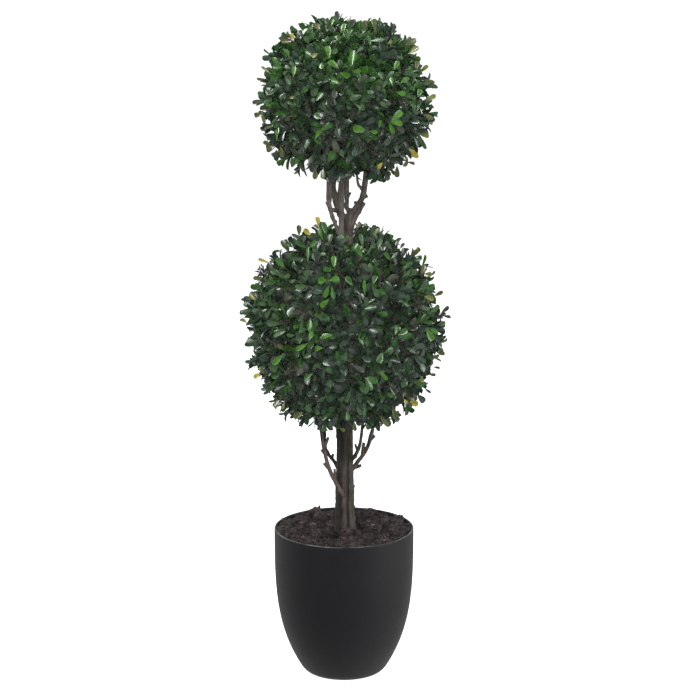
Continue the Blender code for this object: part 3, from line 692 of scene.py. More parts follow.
class FoliageSettings(bpy.types.PropertyGroup):
    """Sizes, amounts and colours of the twigs and leaves."""

    leaf_length: length_setting("Leaf length", "Length of a full-grown leaf", 0.0202)
    leaf_width: length_setting(
        "Leaf width", "Width of a full-grown leaf where it is widest", 0.0086)
    lower_sprays: count_setting(
        "Lower ball's sprays", "How many sprays the lower ball is set with", 380)
    upper_sprays: count_setting(
        "Upper ball's sprays", "How many sprays the upper ball is set with", 275)
    shade: colour_setting(
        "Shade green", "Colour of the dull inner and lower leaves", 0.043, 0.047, 0.036)
    # Deep, middle and fern are dealt out by height: brighter upward as painted light, duller
    # underneath as painted shade
    deep: colour_setting("Deep green", "Colour of the oldest leaves outside", 0.025, 0.039, 0.027)
    middle: colour_setting("Middle green", "Colour of most leaves on top", 0.026, 0.055, 0.022)
    fern: colour_setting("Fern green", "Colour of the livelier leaves", 0.025, 0.069, 0.016)
    # Olive and lime at the outline are partly yellowish leaf colour, partly painted backlight
    # glowing through the leaves
    olive: colour_setting(
        "Olive", "Colour of the yellowish leaves at the outline", 0.050, 0.057, 0.021)
    fresh: colour_setting("Fresh green", "Colour of the bright sprays", 0.036, 0.098, 0.013)
    lime: colour_setting("Lime", "Colour of the yellowish young tips", 0.092, 0.108, 0.027)
    gold: colour_setting("Gold", "Colour of the few golden tips", 0.215, 0.178, 0.030)
    twig: colour_setting("Twig", "Colour of the brown twigs", 0.040, 0.033, 0.027)


class StageSettings(bpy.types.PropertyGroup):
    """Floor and lights of the studio."""

    floor_colour: colour_setting(
        "Floor colour", "Colour of the floor and of the pale dome", 0.55, 0.55, 0.55)
    floor_glow: share_setting(
        "Floor glow", "How brightly the floor and the dome shine by themselves", 0.86)
    sky: share_setting("Room light", "Strength of the soft light from overhead", 0.62)
    key: power_setting("Key light", "Power of the light at the upper left", 96.0)
    side: power_setting("Side light", "Power of the light at the right", 40.0)
    left: power_setting("Left light", "Power of the light behind at the left", 40.0)
    right: power_setting("Right light", "Power of the light behind at the right", 34.0)
    fill: power_setting("Fill light", "Power of the soft light beside the camera", 107.0)


def pot_radius(pot, height):
    """Return the outer radius of the pot's wall at a height."""
    drop = (pot.height - height) / pot.height
    return pot.rim_radius - (pot.rim_radius - pot.foot_radius) * drop ** POT_CURVE


def pot_rows(pot):
    """Return (radius, height) rows from the underside up the wall, over the lip and down inside."""
    lip = pot.wall / 2.0
    rows = [(0.0, 0.0)]
    start = Vector((pot.foot_radius - pot.fillet, 0.0))
    corner = Vector((pot.foot_radius, 0.0))
    end = Vector((pot_radius(pot, pot.fillet), pot.fillet))
    for step in range(POT_FILLET_STEPS):
        t = step / POT_FILLET_STEPS
        rows.append(tuple((1.0 - t) ** 2 * start + 2.0 * t * (1.0 - t) * corner + t ** 2 * end))
    for height in np.linspace(pot.fillet, pot.height - lip, POT_ROWS):
        rows.append((pot_radius(pot, height), height))
    for step in range(1, LIP_STEPS):
        angle = math.pi * step / LIP_STEPS
        out = pot.rim_radius - lip + lip * math.cos(angle)
        rows.append((out, pot.height - lip + lip * math.sin(angle)))
    for height in np.linspace(pot.height - lip, POT_INNER_KNEE, POT_ROWS // 2):
        rows.append((pot_radius(pot, height) - pot.wall, height))
    rows.append((pot.foot_radius - pot.fillet, POT_FLOOR))
    rows.append((0.0, POT_FLOOR))
    return np.array(rows)


def pot_finish(pot):
    """Return charcoal moulded plastic, finely pebbled, with a painted highlight along its lip."""
    finish, shader = new_finish("charcoal_pot", pot.colour, roughness=0.55, specular=0.33)
    place = object_place(finish)
    mottle = noise_pattern(finish, place, scale=110.0, detail=4.0)
    dark, middle, light = shades(pot.colour, 0.09)
    body = colour_ramp(finish, mottle, ((0.3, dark), (0.5, middle), (0.72, light)))
    # Painted highlight: a paler band just below the lip's top, broken up by noise, stands for light
    # catching the lip
    edge = axis_mask(finish, "Z", *(pot.height - pot.wall * share for share in LIP_HIGHLIGHT_BAND))
    highlight_breakup = map_range(finish, noise_pattern(finish, place, scale=60.0), low=-1.5, high=2.2)
    lip, pale_highlight = shades(pot.lip_highlight_colour, 0.2)[1:]
    highlighted = colour_ramp(finish, mottle, ((0.3, lip), (0.7, pale_highlight)))
    link_sockets(finish, shader, {
        "Base Color": blended(finish, both_masks(finish, edge, highlight_breakup), body, highlighted),
        "Roughness": map_range(finish, mottle, low=0.48, high=0.64),
    })
    grain = noise_pattern(finish, place, scale=1400.0, detail=2.0)
    add_bump(finish, shader, ((grain, 0.00006),))
    return finish


class TOPIARY_OT_pot(bpy.types.Operator):
    """Turn the pot as one smooth shell."""

    bl_idname = "topiary.pot"
    bl_label = "Pot"

    def execute(self, context):
        pot = context.scene.topiary_pot
        rows = pot_rows(pot)
        rings = rows[1:-1]
        walls = turned_rings(rings[:, 0], rings[:, 1], POT_SIDES)
        vertices = np.concatenate((walls, ((0.0, 0.0, rows[0, 1]), (0.0, 0.0, rows[-1, 1]))))
        faces = [grid_faces(len(rings), POT_SIDES), *end_fans(len(rings), POT_SIDES)]
        add_piece("pot_shell", vertices, faces, pot_finish(pot), ("pot",))
        return {"FINISHED"}


def bark_colours(finish, value, colour):
    """Return bark's colour: painted shade in its furrows and a painted highlight on its ridges."""
    dark = tuple(channel * FURROW_PAINTED_SHADE for channel in colour)
    light = tuple(channel * RIDGE_PAINTED_HIGHLIGHT for channel in colour)
    return colour_ramp(finish, value, ((0.30, dark), (0.52, colour), (0.74, light)))


def bark_finish(name, colour, upper_colour=None, ridge_colour=None):
    """Return dull bark: painted ridge highlights, painted furrow shade, and other colours where it
    is told.
    """
    finish, shader = new_finish(name, colour, roughness=0.80, specular=0.30)
    drawn_out = object_place(finish, RIDGE_SCALE)
    ridges = noise_pattern(finish, drawn_out, scale=1.0, detail=4.0, roughness=0.6)
    patches = noise_pattern(finish, object_place(finish), scale=85.0)
    links = {0: ridges, 2: map_range(finish, patches, low=-0.02, high=0.42)}
    mixed = add_node(finish, "Math", {1: RIDGE_STRENGTH}, links, operation="MULTIPLY_ADD")
    # Ridge relief plus random patches: low values get painted shade, high values a painted
    # highlight
    relief_shading_and_patches = mixed.outputs["Value"]
    shown = bark_colours(finish, relief_shading_and_patches, colour)
    if ridge_colour:
        left, right = (axis_mask(finish, "X", *side) for side in (RIDGE_LEFT, RIDGE_RIGHT))
        where = both_masks(finish, left, right)
        where = both_masks(finish, where, axis_mask(finish, "Z", *RIDGE_TOP))
        shown = blended(finish, where, shown, bark_colours(finish, relief_shading_and_patches, ridge_colour))
    if upper_colour:
        where = axis_mask(finish, "Z", *UPPER_BARK)
        shown = blended(finish, where, shown, bark_colours(finish, relief_shading_and_patches, upper_colour))
    link_sockets(finish, shader, {
        "Base Color": shown,
        "Roughness": map_range(finish, patches, low=0.68, high=0.92),
    })
    cracks = noise_pattern(finish, object_place(finish, CRACK_SCALE), scale=1.0)
    add_bump(finish, shader, ((ridges, 0.0008), (cracks, 0.00025)))
    return finish


def bark_places(angles, around, along):
    """Return where noise is read off for a limb: round a circle, and up along the limb."""
    return np.stack((np.cos(angles) * around, np.sin(angles) * around, along), axis=-1)


def bark_relief(points, radii, depth, seed):
    """Return how many times its plain radius each corner of each ring stands out."""
    lengths = np.concatenate(([0.0], np.cumsum(np.linalg.norm(np.diff(points, axis=0), axis=1))))
    angles = turns(BARK_SIDES)
    turned = angles[None, :] + lengths[:, None] * RIDGE_TWIST
    along = np.broadcast_to(lengths[:, None], turned.shape)
    ridges = bark_places(turned, RIDGES_ROUND, along / RIDGE_LENGTH)
    relief = depth * layered_noise(ridges, layers=3, seed=seed)
    still = np.broadcast_to(angles[None, :], turned.shape)
    pits = bark_places(still, PITS_ROUND, along * PITS_PER_METRE)
    relief += PIT_SHARE * depth * smooth_noise(pits, seed + PIT_SEED_STEP)
    rng = seeded(seed)
    for knot in range(int(lengths[-1] / KNOT_SPACING)):
        place = rng.uniform(*KNOT_PLACES) * lengths[-1]
        facing = rng.uniform(0.0, FULL_TURN)
        off = np.angle(np.exp(1j * (angles[None, :] - facing))) * radii[:, None]
        spread = KNOT_SPREAD * rng.uniform(*KNOT_SPREAD_SHARES)
        away = ((along - place) ** 2 + off ** 2) / spread ** 2
        relief += KNOT_HEIGHT * rng.uniform(*KNOT_HEIGHT_SHARES) * np.exp(-away)
    return 1.0 + relief


def bark_tube(points, radii, depth, seed):
    """Return vertices and faces of one limb with its relief, closed at both ends."""
    relief = bark_relief(points, radii, depth, seed)
    arms = ring_arms(points[None], BARK_SIDES)[0]
    walls = points[:, None, :] + arms * (radii[:, None] * relief)[:, :, None]
    vertices = np.concatenate((walls.reshape(-1, 3), points[:1], points[-1:]))
    rings = len(points)
    return vertices, grid_faces(rings, BARK_SIDES), np.concatenate(end_fans(rings, BARK_SIDES))


class TOPIARY_OT_limbs(bpy.types.Operator):
    """Give each stem and bough its bark, with ridges, knots and cut-off spurs."""

    bl_idname = "topiary.limbs"
    bl_label = "Stems and boughs"

    def execute(self, context):
        bark = context.scene.topiary_bark
        dark, rosy, olive, upper, ridge = (
            tuple(getattr(bark, name)) for name in ("dark", "rosy", "olive", "upper", "ridge"))
        finishes = {
            "dark": bark_finish("dark_bark", dark, upper),
            "rosy": bark_finish("rosy_bark", rosy),
            "olive": bark_finish("olive_bark", olive, upper),
            "ridged": bark_finish("ridged_bark", dark, upper, ridge),
        }
        for order, (node, path, spurs, tone) in enumerate(LIMBS):
            shapes = [smooth_path(path, BARK_RING_STEP)]
            shapes += [self.spur_shape(*spur) for spur in spurs]
            vertices, quads, caps, first = [], [], [], 0
            for part, (points, radii) in enumerate(shapes):
                made, walls, ends = bark_tube(points, radii, bark.relief, 10 * order + part)
                vertices.append(made)
                quads.append(walls + first)
                caps.append(ends + first)
                first += len(made)
            faces = [np.concatenate(quads), np.concatenate(caps)]
            vertices = np.concatenate(vertices)
            add_piece(node + "_bark", vertices, faces, finishes[tone], (node,))
        return {"FINISHED"}

    def spur_shape(self, root, tip, radius):
        """Return the points and the radii of one straight cut-off spur."""
        rings = np.linspace(0.0, 1.0, SPUR_RINGS)[:, None]
        points = np.array(root) + (np.array(tip) - np.array(root)) * rings
        return points, radius * SPUR_SWELL * (1.0 + (SPUR_TIP_SHARE - 1.0) * rings[:, 0])


def mulch_height(spots, lumps, level, edge):
    """Return the height of the mulch bed at (x, y) spots: a low swell heaped with lumps."""
    out = np.linalg.norm(spots, axis=1)
    share = np.clip((out - STEM_PLACE_RADIUS) / (edge - STEM_PLACE_RADIUS), 0.0, 1.0)
    swell = level + BED_LIFT + MULCH_SWELL * np.sin(math.pi * share)
    heap = np.full(len(spots), HEAP_BASE)
    for x, y, radius, top in lumps:
        away = np.hypot(spots[:, 0] - x, spots[:, 1] - y) / radius
        dome = top - radius * (1.0 - np.sqrt(np.clip(1.0 - away ** 2, 0.0, 1.0)))
        heap = np.where(away < 1.0, np.maximum(heap, dome), heap)
    for x, y, radius, depth in HOLLOWS:
        heap -= depth * np.exp(-((spots[:, 0] - x) ** 2 + (spots[:, 1] - y) ** 2) / radius ** 2)
    rough = np.concatenate((spots, np.zeros((len(spots), 1))), axis=1)
    heap += CRUMB_HEIGHT * layered_noise(rough * CRUMBS_PER_METRE, layers=3, seed=CRUMB_SEED)
    foot = FOOT_HEAP_HEIGHT * np.exp(-(out / FOOT_HEAP_SPREAD) ** 2)
    outward = np.interp(out, EDGE_RISE_OUT, (0.0, 1.0))
    backward = np.interp(spots[:, 1], EDGE_RISE_BACK, (0.0, 1.0))
    return swell + heap + foot + EDGE_RISE * outward * backward


def random_spot(edge, rng):
    """Return a spot anywhere on a round bed."""
    out = edge * math.sqrt(rng.random())
    turn = rng.uniform(0.0, FULL_TURN)
    return out * math.cos(turn), out * math.sin(turn)


def mulch_lumps(count, edge, rng):
    """Return (x, y, radius, top) of the lumps that the bed is heaped from."""
    lumps = [
        (*random_spot(edge, rng), rng.uniform(*LUMP_SIZES), rng.uniform(HEAP_BASE, HEAP_TOP))
        for lump in range(count)
    ]
    return lumps + list(PLACED_LUMPS)


def mulch_finish(name, colour, spread):
    """Return dull, dyed bark with reddish and black patches, and painted shade below a set height.
    """
    finish, shader = new_finish(name, colour, roughness=0.93, specular=0.22)
    place = object_place(finish)
    patches = noise_pattern(finish, place, scale=120.0, detail=5.0, roughness=0.62)
    dark = tuple(channel * (1.0 - spread) for channel in colour)
    light = tuple(channel * (1.0 + MULCH_LIGHTER * spread) for channel in colour)
    unshaded_mulch = colour_ramp(finish, patches, ((0.36, dark), (0.50, colour), (0.66, light)))
    # Painted shade: darker copies of the colours, used below a height, for the hollows and low
    # places
    shaded_dark, shaded_light = (
        shades(tone, step)[0] for tone, step in zip((dark, colour), LOW_SHADE_DARKENING))
    painted_low_shade = colour_ramp(finish, patches, ((0.36, shaded_dark), (0.70, shaded_light)))
    above_low_shade = axis_mask(finish, "Z", *(STEM_FOOT_Z + height for height in LOW_SHADE_HEIGHTS))
    link_sockets(finish, shader, {"Base Color": blended(finish, above_low_shade, painted_low_shade, unshaded_mulch)})
    crumbs = noise_pattern(finish, place, scale=900.0, roughness=0.65)
    add_bump(finish, shader, ((patches, 0.0016), (crumbs, 0.0005)))
    return finish


def shard_mesh(middles, sizes, rng):
    """Return vertices and faces of many irregular six-cornered chips lying at random."""
    corners = np.repeat(np.eye(3), 2, axis=0) * np.tile((1.0, -1.0), 3)[:, None]
    upper = ((0, 2, 4), (2, 1, 4), (1, 3, 4), (3, 0, 4))
    lower = ((2, 0, 5), (1, 2, 5), (3, 1, 5), (0, 3, 5))
    sides = np.array(upper + lower)
    vertices = []
    for middle, size in zip(middles, sizes):
        turn = Matrix.Rotation(rng.uniform(0.0, FULL_TURN), 3, "Z")
        lean = Matrix.Rotation(rng.gauss(0.0, CHIP_LEANS[0]), 3, "X")
        lean = lean @ Matrix.Rotation(rng.gauss(0.0, CHIP_LEANS[1]), 3, "Y")
        shifts = [[rng.uniform(-CHIP_SHIFT, CHIP_SHIFT) for axis in range(3)] for corner in corners]
        shape = corners * size + np.array(shifts) * size
        vertices.append(shape @ np.array(turn @ lean).T + middle)
    first = (np.arange(len(middles)) * len(corners))[:, None, None]
    return np.concatenate(vertices), [(sides[None] + first).reshape(-1, 3)]


def near_stem(x, y, clear):
    """Tell whether a spot on the mulch is too close to the stems' feet."""
    return any(math.hypot(x - foot[0], y - foot[1]) < radius + clear for foot, radius in STEM_FEET)


class TOPIARY_OT_mulch(bpy.types.Operator):
    """Heap the mulch in the pot: a lumpy bed, loose chips, fibres and a few straws."""

    bl_idname = "topiary.mulch"
    bl_label = "Mulch"

    def execute(self, context):
        mulch = context.scene.topiary_mulch
        pot = context.scene.topiary_pot
        self.rng = seeded(MULCH_SEED)
        self.level = STEM_FOOT_Z
        self.edge = pot_radius(pot, self.level) - pot.wall - MULCH_CLEARANCE
        self.lumps = mulch_lumps(mulch.lumps, self.edge, self.rng)
        self.make_bed(mulch_finish("mulch_bark", tuple(mulch.colour), BED_MOTTLING))
        for tone in ("colour", "pale_colour", "dark_colour"):
            finish = mulch_finish("chip_" + tone, tuple(getattr(mulch, tone)), CHIP_MOTTLING)
            self.make_chips("mulch_chips_" + tone, mulch.chips, finish)
        straws = [np.linspace(start, end, FIBRE_POINTS) for start, end in PLACED_STRAWS]
        for name, count, colour, lengths, radius, curves in (
            ("mulch_fibres", mulch.fibres, mulch.colour, FIBRE_LENGTHS, FIBRE_RADIUS, []),
            ("mulch_straws", STRAW_COUNT, mulch.straw_colour, STRAW_LENGTHS, STRAW_RADIUS, straws),
        ):
            self.make_fibres(name, count, colour, lengths, radius, curves)
        return {"FINISHED"}

    def heights(self, spots):
        """Return the height of the bed at each of these spots."""
        return mulch_height(spots, self.lumps, self.level, self.edge)

    def make_bed(self, finish):
        """Make the lumpy top of the mulch, with a skirt that goes down inside the pot."""
        outs = self.edge * np.sqrt(np.linspace(BED_CENTRE_SHARE, 1.0, BED_RINGS))
        top = turned_rings(outs, np.zeros(BED_RINGS), BED_SECTORS)
        top[:, 2] = self.heights(top[:, :2])
        low = self.level - BED_DEPTH
        rim = top[-BED_SECTORS:] * (1.0, 1.0, 0.0) + (0.0, 0.0, low)
        middles = ((0.0, 0.0, top[:BED_SECTORS, 2].mean()), (0.0, 0.0, low))
        vertices = np.concatenate((top, rim, middles))
        faces = [grid_faces(BED_RINGS + 1, BED_SECTORS), *end_fans(BED_RINGS + 1, BED_SECTORS)]
        faces = [block[:, ::-1] for block in faces]
        add_piece("mulch_bed", vertices, faces, finish, ("mulch",))

    def make_chips(self, name, count, finish):
        """Scatter loose bark chips of one tone over the bed."""
        rng = self.rng
        spots, sizes = [], []
        while len(spots) < count:
            spot = random_spot(self.edge - CHIP_EDGE_ROOM, rng)
            if near_stem(*spot, CHIP_CLEARANCE):
                continue
            length = rng.uniform(*CHIP_LENGTHS)
            width = length * rng.uniform(*CHIP_WIDTHS)
            spots.append(spot)
            sizes.append((length, width, length * rng.uniform(*CHIP_HEIGHTS)))
        spots, sizes = np.array(spots), np.array(sizes)
        middles = np.column_stack((spots, self.heights(spots) + sizes[:, 2] * 0.5))
        vertices, faces = shard_mesh(middles, sizes, rng)
        add_piece(name, vertices, faces, finish, smooth=False)

    def make_fibres(self, name, count, colour, lengths, radius, curves):
        """Lay thin curled fibres among the chips, after the curves that have a set place."""
        rng = self.rng
        while len(curves) < count:
            x, y = random_spot(self.edge - FIBRE_EDGE_ROOM, rng)
            if near_stem(x, y, FIBRE_CLEARANCE):
                continue
            heading = rng.uniform(0.0, FULL_TURN)
            curl = rng.uniform(-FIBRE_CURL, FIBRE_CURL)
            step = rng.uniform(*lengths) / (FIBRE_POINTS - 1)
            points = []
            for ring in range(FIBRE_POINTS):
                points.append((x, y))
                x += step * math.cos(heading)
                y += step * math.sin(heading)
                heading += curl * step
            curves.append(points)
        curves = np.array(curves)
        heights = self.heights(curves.reshape(-1, 2)).reshape(count, FIBRE_POINTS)
        highest = heights.max(axis=1, keepdims=True)
        arch = highest * FIBRE_ARCH + heights * (1.0 - FIBRE_ARCH) + radius
        points = np.concatenate((curves, arch[:, :, None]), axis=2)
        radii = np.full((count, FIBRE_POINTS), radius) * np.array(FIBRE_TAPER)
        vertices, faces = tube_mesh(points, radii, FIBRE_SIDES)
        finish = mulch_finish(name + "_finish", tuple(colour), FIBRE_MOTTLING)
        add_piece(name, vertices, faces, finish)


def tilted(along, azimuth, degrees):
    """Return a direction leaned away from another by some degrees, towards an azimuth."""
    across = along.orthogonal().normalized()
    across = Matrix.Rotation(azimuth, 3, along) @ across
    lean = math.radians(degrees)
    return along * math.cos(lean) + across * math.sin(lean)


def even_directions(count, rng):
    """Yield directions spread evenly over a ball, a golden angle apart."""
    for index in range(count):
        height = 1.0 - 2.0 * (index + 0.5) / count
        level = math.sqrt(1.0 - height ** 2)
        azimuth = index * GOLDEN_ANGLE + rng.uniform(-AZIMUTH_JITTER, AZIMUTH_JITTER)
        yield Vector((level * math.cos(azimuth), level * math.sin(azimuth), height))


def bent_line(start, middle, end, steps):
    """Return points on one bend from start to end, drawn towards a middle point."""
    made = []
    for step in range(steps + 1):
        t = step / steps
        made.append(start * (1.0 - t) ** 2 + middle * (2.0 * t * (1.0 - t)) + end * t ** 2)
    return made


def point_back(points, distance):
    """Return the place and the direction of a line at a distance back from its tip."""
    for index in range(len(points) - 1, 0, -1):
        step = points[index] - points[index - 1]
        if distance <= step.length or index == 1:
            return points[index] - step.normalized() * distance, step.normalized()
        distance -= step.length


TONES = ("shade", "deep", "middle", "fern", "olive", "fresh", "lime", "gold")
OLD_TONES = ("deep", "middle", "fern")
OLD_TONE_CHANGE = 0.30
BRIGHT_SWELL = {"fresh": 1.14, "lime": 1.0, "gold": 0.86}
BRIGHT_ROLL_SHARE = 0.6

# Which tones a spray takes: how its place and height light it, and how likely each tone then is
# The tones dealt by height are painted light: brighter greens on top, duller ones underneath
LIGHT_AT_SIDE = 0.34
LIGHT_UPWARD = 1.05
FERN_CHANCE = (0.02, 0.55)
MIDDLE_CHANCE = (0.14, 0.78)
FRESH_CHANCE = (0.03, 0.08)
LIME_CHANCE = (0.01, 0.02)
LIT_INSIDE = 0.62
SEEN_IN_FRONT = -0.1

# Leaves: where the corners across a leaf lie along it, and their share of its width; then how much
# they vary in length and width, and in how far they roll, cup and bend
LEAF_STATIONS = (0.10, 0.32, 0.56, 0.79, 0.94)
LEAF_WIDTHS = (0.20, 0.62, 0.93, 0.99, 0.66)
LENGTH_SPREAD = (0.86, 1.14)
WIDTH_SPREAD = (0.84, 1.16)
ROLL = 0.50
CUPS = (0.15, 0.95)
BENDS = (-0.08, 0.38)

# A leaf that would reach out of its ball is shortened, and left off below this share of its size
LEAF_LIMIT = 1.02
SHORTENING = 8.0
LEAST_SIZE = 0.45
LEAF_CLEARANCE = 0.0008
TWIG_LIMIT = 0.985

# Main branches inside a ball: where they leave the stems, where they end, their lift and thickness
BRANCH_FOOT_SPREAD = 0.42
BRANCH_FOOT_DROP = 0.22
BRANCH_TIPS = (0.52, 0.66)
BRANCH_LIFT = Vector((0.0, 0.0, 0.006))
BRANCH_RADII = (0.0021, 0.0011)
LINE_STEPS = 8
FORK_STEPS = (4, 8)
LIMB_STEP = 0.012
TWIG_RINGS = 6
TWIG_SIDES = 5

# Sprays: pairs of leaves down a twig from its tip, how far each leans, and its share of full size
NODE_PLACES = (0.0, 0.0072, 0.0146, 0.0215, 0.0280, 0.0345)
PAIR_LEANS = (24.0, 40.0, 50.0, 57.0, 62.0, 66.0)
PAIR_SIZES = (0.80, 0.98, 1.06, 1.06, 1.04, 1.0)
PAIR_TURN_SPREAD = 0.16
LEAN_SPREAD = 8.0
SIZE_SPREAD = (0.92, 1.08)
OUTER_NODES = 4
SPRAY_LEANS = (0.0, 26.0)
SPRAY_BEND = 0.26
SPRAY_RADII = (0.0011, 0.0005)
SIDE_TWIG_CHANCES = (0.0, 0.08, 0.34, 0.85, 0.85, 0.60)
SIDE_LENGTHS = (0.010, 0.019)
SIDE_TURN_SPREAD = 0.2
SIDE_FOOT_LEANS = (42.0, 62.0)
SIDE_TIP_LEANS = (24.0, 44.0)
SIDE_FOOT_SHARE = 0.55
SIDE_STEPS = 3
SIDE_RADII = (0.0007, 0.00045)
LONG_SIDE = 0.014
SIDE_LEANS = (26.0, 44.0, 56.0)
SIDE_SIZES = (0.84, 0.98, 0.98)
SIDE_NODE_SPACING = 0.0062
UPWARD = Vector((0.0, 0.0, 0.20))
UNDERSIDE = -0.93
UNDERSIDE_SHORTER = 0.06
LONG_SHARE = 0.36
LONG_TIPS = (0.835, 0.905)
SHORT_TIPS = (0.69, 0.80)
THIN_TIP = 0.60
SWELL_HEIGHT = 0.035
SWELLS_ACROSS = 3.0
SWELL_PLACE = 11.0
SWELL_SEED = 3
OUTLINE_ROOM = 0.92

# The thin place at the lower ball's top front, by the direction's parts
GROOVE_MIDDLE = 0.01
GROOVE_HALF_WIDTH = 0.11
GROOVE_LOW, GROOVE_HIGH = 0.40, 0.84

# Leaves that stand out in the photograph, by tone: their foot and tip in it, and their seen width
UPPER_PLACED = {
    "fresh": (
        (352, 66, 354, 50, 8), (329, 58, 327, 46, 7), (339, 69, 328, 60, 8), (322, 62, 322, 69, 6),
        (340, 72, 350, 77, 8), (340, 84, 331, 80, 8), (289, 58, 284, 48, 7), (293, 77, 294, 66, 5),
        (352, 72, 361, 70, 6), (394, 70, 398, 61, 6), (393, 86, 391, 77, 5), (400, 84, 409, 76, 6),
        (396, 92, 406, 94, 6), (366, 130, 353, 128, 9), (369, 131, 378, 131, 7),
        (379, 128, 381, 120, 4), (391, 121, 402, 111, 8), (389, 122, 403, 124, 7),
        (389, 122, 394, 134, 6), (277, 141, 277, 127, 5), (315, 139, 322, 127, 6),
        (418, 97, 421, 89, 6), (331, 26, 334, 19, 5),
    ),
    "fern": (
        (284, 62, 276, 60, 6), (283, 67, 273, 67, 6), (349, 40, 346, 29, 6),
        (322, 119, 314, 114, 6), (314, 139, 322, 143, 6), (328, 163, 334, 151, 8),
        (316, 101, 323, 93, 7), (320, 131, 333, 123, 7), (324, 43, 329, 37, 5),
        (301, 93, 307, 87, 7), (355, 104, 361, 109, 4),
    ),
    # Olive and lime leaves, mostly at the outline: partly yellowish leaf colour, partly painted
    # backlight
    "olive": (
        (320, 31, 314, 23, 7), (294, 41, 280, 40, 7), (366, 31, 365, 20, 6), (375, 33, 374, 18, 6),
        (404, 45, 417, 40, 7), (422, 80, 435, 82, 5), (262, 113, 254, 116, 6),
        (262, 111, 264, 122, 5), (275, 126, 264, 129, 5), (266, 142, 270, 151, 6),
        (280, 146, 283, 157, 6), (303, 159, 303, 168, 6), (315, 168, 315, 179, 6),
        (323, 168, 323, 179, 6), (397, 165, 397, 178, 6), (408, 158, 404, 167, 6),
        (422, 114, 433, 118, 5), (266, 79, 257, 80, 4), (288, 117, 296, 116, 4),
        (416, 70, 418, 61, 6), (271, 144, 263, 142, 5), (407, 162, 415, 164, 4),
    ),
    "lime": (
        (271, 74, 261, 66, 3), (408, 54, 419, 47, 6), (420, 73, 428, 65, 5), (425, 101, 436, 95, 6),
        (421, 134, 429, 137, 5), (288, 99, 294, 96, 3), (387, 44, 392, 41, 4),
        (318, 53, 312, 57, 5),
    ),
    "gold": ((294, 41, 291, 33, 5), (409, 148, 418, 158, 6), (383, 162, 378, 169, 5)),
    "glint": (
        (370, 41, 384, 39, 5), (397, 57, 403, 58, 4), (309, 44, 305, 36, 6), (288, 71, 283, 74, 4),
        (290, 69, 285, 66, 5), (360, 31, 368, 28, 4), (366, 91, 374, 93, 5), (383, 88, 387, 80, 4),
        (412, 104, 416, 114, 4), (416, 130, 426, 150, 5), (421, 84, 430, 83, 5),
        (309, 76, 313, 81, 4), (417, 113, 420, 99, 5), (391, 159, 387, 147, 4),
        (371, 168, 375, 159, 4), (347, 149, 351, 137, 4), (305, 150, 309, 139, 6),
        (344, 158, 340, 150, 6), (417, 123, 429, 124, 5), (388, 108, 380, 102, 5),
        (357, 52, 363, 47, 5), (281, 87, 275, 85, 5), (314, 103, 313, 98, 5),
    ),
    "deep": (
        (338, 22, 337, 11, 6), (329, 26, 326, 18, 6), (323, 25, 319, 19, 3), (303, 37, 298, 31, 8),
        (380, 30, 380, 22, 3), (390, 33, 397, 31, 3), (263, 100, 252, 103, 5),
        (274, 156, 277, 150, 3), (292, 157, 292, 165, 5), (349, 28, 353, 20, 7),
        (410, 45, 406, 39, 7),
    ),
}
